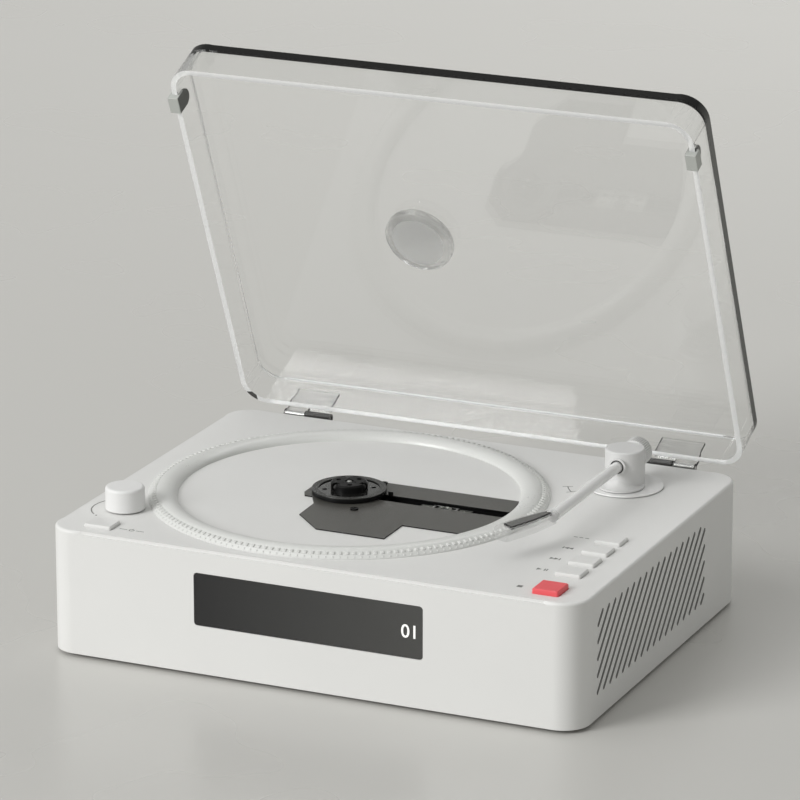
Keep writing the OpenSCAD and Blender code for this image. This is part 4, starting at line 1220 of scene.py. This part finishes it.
@dataclass
class Lid(Assembly):
    """Clear lid with its plate, frame, hinge leaves, bumpers and badge.

    Attributes:
        back_rim: Where the rim's back, with a stronger painted glow, begins.
        corner: Where the corner of painted shade begins, across and along.
        bead: Radius and length of the cement bead, and its place across and up.
        tab_x: Inner side of the bumpers' blocks.
        leftward: Normal beyond which a face of the plate's edge is on the left.
        sawn: The edge's foot above the ceiling, and the most that its faces lean.
        foot: The rim's top above the walls' foot, and the least that its faces point down.
    """

    back_rim: float = 78.0
    corner: tuple[float, float] = (103.5, 78.5)
    bead: tuple[float, float, float, float] = (0.5, 196.0, 85.5, 69.45)
    tab_x: float = 109.6
    leftward: float = -0.7
    sawn: tuple[float, float] = (0.1, 0.4)
    foot: tuple[float, float] = (0.2, -0.8)

    def build(self) -> None:
        """Join plate and walls into one clear lid and dress what it carries."""
        self.shell()
        leaves = self.bench.refine("lid_hinge_leaves", Stock.LEAF, 0.15, FINE_DEG)
        self.bench.second(leaves, Stock.HUB, lambda face: abs(face.normal.x) > 0.8)
        self.bumpers()
        self.bench.refine_all(("lid_badge", Stock.LEAF, 0.2, KNOB_DEG, 3),
                              ("badge_inset", Stock.FROSTED, 0.08, FINE_DEG))

    def swung(self, y: float, z: float, way: int) -> tuple[float, float]:
        """Turn a direction in the plane of Y and Z so as to shut (1) or open (-1) the lid."""
        turn = way * math.radians(self.sizes.open_angle)
        return (y * math.cos(turn) - z * math.sin(turn), y * math.sin(turn) + z * math.cos(turn))

    def closed(self, spot: Vector) -> Vector:
        """Where a point of the open lid lies when the lid is shut, in millimetres."""
        across, up = self.sizes.hinge
        y, z = self.swung(spot[1] / MM - across, spot[2] / MM - up, 1)
        return Vector((spot[0] / MM, across + y, up + z))

    def opened(self, spot: Vector) -> Vector:
        """Where a point of the shut lid lies on the open lid, both in metres."""
        across, up = (c * MM for c in self.sizes.hinge)
        y, z = self.swung(spot[1] - across, spot[2] - up, -1)
        return Vector((spot[0], across + y, up + z))

    def shut(self, face: Face) -> ShutFace:
        """A face as it lies when the lid is shut."""
        spot = self.closed(face.center)
        way = Vector((face.normal[0], *self.swung(face.normal[1], face.normal[2], 1)))
        return ShutFace(
            spot, way, spot.z > self.sizes.ceiling + self.sawn[0] and abs(way.z) < self.sawn[1],
            spot.z < self.sizes.rim + self.foot[0] and way.z < self.foot[1])

    def shell(self) -> None:
        """Join the plate and the walls, paint shade on the sawn edge and the dark corner, and
        paint a glow on the rim.
        """
        plate = self.bench.duplicate("lid_plate")
        walls = self.bench.duplicate("lid_frame")
        self.bench.modify(plate, "BOOLEAN", operation="UNION", object=walls, solver="EXACT")
        self.bench.pick(walls)
        bpy.ops.object.delete()
        self.bench.settle(plate)
        self.bench.soften(plate, 0.14, FINE_DEG)
        self.bench.fit(plate, "lid_shell", Stock.ACRYLIC, "lid", "clear_acrylic",
                       ["lid_plate", "lid_frame"])
        # painted shade on the sawn edge and the dark corner, painted glow on the rim
        for stock, chosen in ((Stock.RIM, self.on_edge), (Stock.LIP, self.on_lip),
                              (Stock.LIT_LIP, self.at_back),
                              (Stock.BRACKET, self.at_dark_corner)):
            self.bench.second(plate, stock, chosen)
        self.seam()

    def on_edge(self, face: Face) -> bool:
        """Whether a face is the plate's sawn edge, at its front or on the right, painted as shade.
        """
        lies = self.shut(face)
        return lies.sawn and lies.way.y < ASIDE and lies.way.x > self.leftward

    def on_lip(self, face: Face) -> bool:
        """Whether a face is on the rim of the walls or on the plate's edge on the left, given a
        painted glow.
        """
        lies = self.shut(face)
        return lies.rim or (lies.sawn and lies.way.x <= self.leftward)

    def at_back(self, face: Face) -> bool:
        """Whether a face is on the rim or the plate's edge at the back, where light gathers, given
        a stronger painted glow.
        """
        lies = self.shut(face)
        return ((lies.sawn and lies.way.y > ASIDE)
                or (lies.rim and lies.spot.y > self.back_rim))

    def at_dark_corner(self, face: Face) -> bool:
        """Whether a face is on the rim of the left back corner, where no light gathers, painted
        dark as shade.
        """
        lies = self.shut(face)
        return lies.rim and lies.spot.x < -self.corner[0] and lies.spot.y > self.corner[1]

    def seam(self) -> None:
        """Lay the bead of cement, with a painted glow, along the joint of the plate and the back
        wall.
        """
        self.bench.clear()
        radius, length, across, up = self.bead
        bpy.ops.mesh.primitive_cylinder_add(
            vertices=16, radius=radius * MM, depth=length * MM,
            rotation=(0, math.pi / 2, 0), location=(0, across * MM, up * MM))
        piece = bpy.context.object
        self.bench.settle(piece)
        for spot in piece.data.vertices:
            spot.co = self.opened(spot.co)
        self.bench.soften(piece, 0.15)
        # the bead's glow is painted light
        self.bench.fit(piece, "lid_seam", Stock.LIP, "lid", "clear_acrylic")

    def bumpers(self) -> None:
        """Dress the bumpers, with their inner tabs darker than their blocks."""
        piece = self.bench.refine("lid_bumpers", Stock.BUMPER, 0.25, FINE_DEG, 3)
        self.bench.second(piece, Stock.TAB, lambda face: (
            self.closed(face.center).z > self.sizes.rim + 0.05
            and abs(face.center.x) < self.tab_x * MM))


@dataclass
class HiddenWorks:
    """Everything behind the covers, each piece in its own finish."""

    bench: Bench
    finishes: dict[Stock, tuple[str, ...]] = field(default_factory=lambda: {
        Stock.STEEL: ("case_screws", "mech_screws", "spindle_motor", "sled_motor", "guide_rods",
                      "volume_encoder", "inner_screws", "hinge_pins", "hinge_screws"),
        Stock.BOARD: ("display_board", "main_board", "key_boards"),
        Stock.DARK: ("display_parts", "mech_frame", "tact_switches", "speaker_frames",
                     "speaker_cones"),
        Stock.FOOT: ("mech_dampers",), Stock.CLOTH: ("speaker_cloths",),
        Stock.ZINC: ("speaker_magnets",), Stock.GEAR: ("drive_gear",),
        Stock.BRASS: ("motor_pinion",)})

    def build(self) -> None:
        """Paint the CAD nodes that stay as they are."""
        for stock, nodes in self.finishes.items():
            for node in nodes:
                mesh = self.bench.frame["nodes"][node].data
                mesh.materials.clear()
                mesh.materials.append(self.bench.paints.get(stock))
                log.info("%s: finish %s", node, stock.value.name)


@dataclass
class Studio:
    """Floor, lamps, world and camera, in metres and degrees.

    Attributes:
        azimuth: Angle of the camera round the player, from its front to its right.
        elevation: Angle of the camera above the floor.
        distance: Distance of the camera from its target.
        target: The point that the camera faces.
        lens: Focal length in millimetres, for the sensor's width.
    """

    bench: Bench
    azimuth: float = 24.1056
    elevation: float = 17.4221
    distance: float = 1.9771
    target: Point = (0.000546, 0.0, 0.09404)
    lens: float = 226.354
    sensor: float = 36.0
    near: float = 0.05
    far: float = 60.0
    floor_size: float = 14.0
    floor_middle: Point = (0.0, 3.0, 0.0)
    sky: Colour = srgb(226, 226, 223)
    sky_strength: float = 0.5

    def build(self) -> None:
        """Set the studio up."""
        self.floor()
        self.lamps()
        self.camera()
        self.world()
        bpy.context.scene.view_settings.view_transform = "Standard"

    def floor(self) -> None:
        """Lay the floor."""
        self.bench.clear()
        bpy.ops.mesh.primitive_grid_add(x_subdivisions=8, y_subdivisions=8, size=self.floor_size,
                                        location=self.floor_middle)
        floor = bpy.context.object
        self.bench.apply()
        floor.name = "studio_floor"
        floor.data.materials.append(self.bench.paints.get(Stock.FLOOR))

    def lamp(self, name: str, place: Point, aim: Point, size: float, power: float) -> None:
        """Hang one square softbox.

        Args:
            name: Its name.
            place: Where it hangs.
            aim: The point that it faces.
            size: Length of its side.
            power: Its power in watts.
        """
        self.bench.clear()
        bpy.ops.object.light_add(type="AREA", location=place)
        lamp = bpy.context.object
        lamp.name = name
        lamp.data.shape = "SQUARE"
        lamp.data.size = size
        lamp.data.energy = power
        way = Vector(aim) - Vector(place)
        lamp.rotation_euler = way.to_track_quat("-Z", "Y").to_euler()

    def lamps(self) -> None:
        """Hang the key lamp at the front left, a broad fill above and a lamp for the back."""
        self.lamp("key_lamp", (-1.5, -2.2, 1.3), (0, 0, 0.05), 1.2, 52.5)
        self.lamp("top_lamp", (-0.9, -0.6, 2.5), (0, 0, 0), 1.8, 14.5)
        self.lamp("back_lamp", (0, 1.4, 1.4), (0, 2.2, 0), 1.2, 12.5)

    def camera(self) -> None:
        """Place the camera as the photograph was taken."""
        turn, rise = math.radians(self.azimuth), math.radians(self.elevation)
        back = Vector((math.sin(turn) * math.cos(rise), -math.cos(turn) * math.cos(rise),
                       math.sin(rise)))
        self.bench.clear()
        bpy.ops.object.camera_add(location=Vector(self.target) + back * self.distance)
        camera = bpy.context.object
        camera.rotation_euler = (-back).to_track_quat("-Z", "Y").to_euler()
        camera.data.lens = self.lens
        camera.data.sensor_width = self.sensor
        camera.data.clip_start = self.near
        camera.data.clip_end = self.far
        bpy.context.scene.camera = camera

    def world(self) -> None:
        """Give the world an even pale grey."""
        world = bpy.data.worlds.new("studio_world")
        bpy.context.scene.world = world
        world.use_nodes = True
        sky = world.node_tree.nodes["Background"]
        sky.inputs["Color"].default_value = self.sky
        sky.inputs["Strength"].default_value = self.sky_strength


def main() -> None:
    """Build the player's looks piece by piece."""
    logging.basicConfig(level=logging.INFO, format="%(name)s: %(message)s")
    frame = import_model()
    bench = Bench(frame, Paints())
    sizes = Sizes()
    HiddenWorks(bench).build()
    for kind in (Housing, DiscDeck, Pickup, Tonearm, Controls, Display, Lid):
        kind(bench, sizes).build()
    Studio(bench).build()
    bench.clear()


if __name__ == "__main__":
    main()
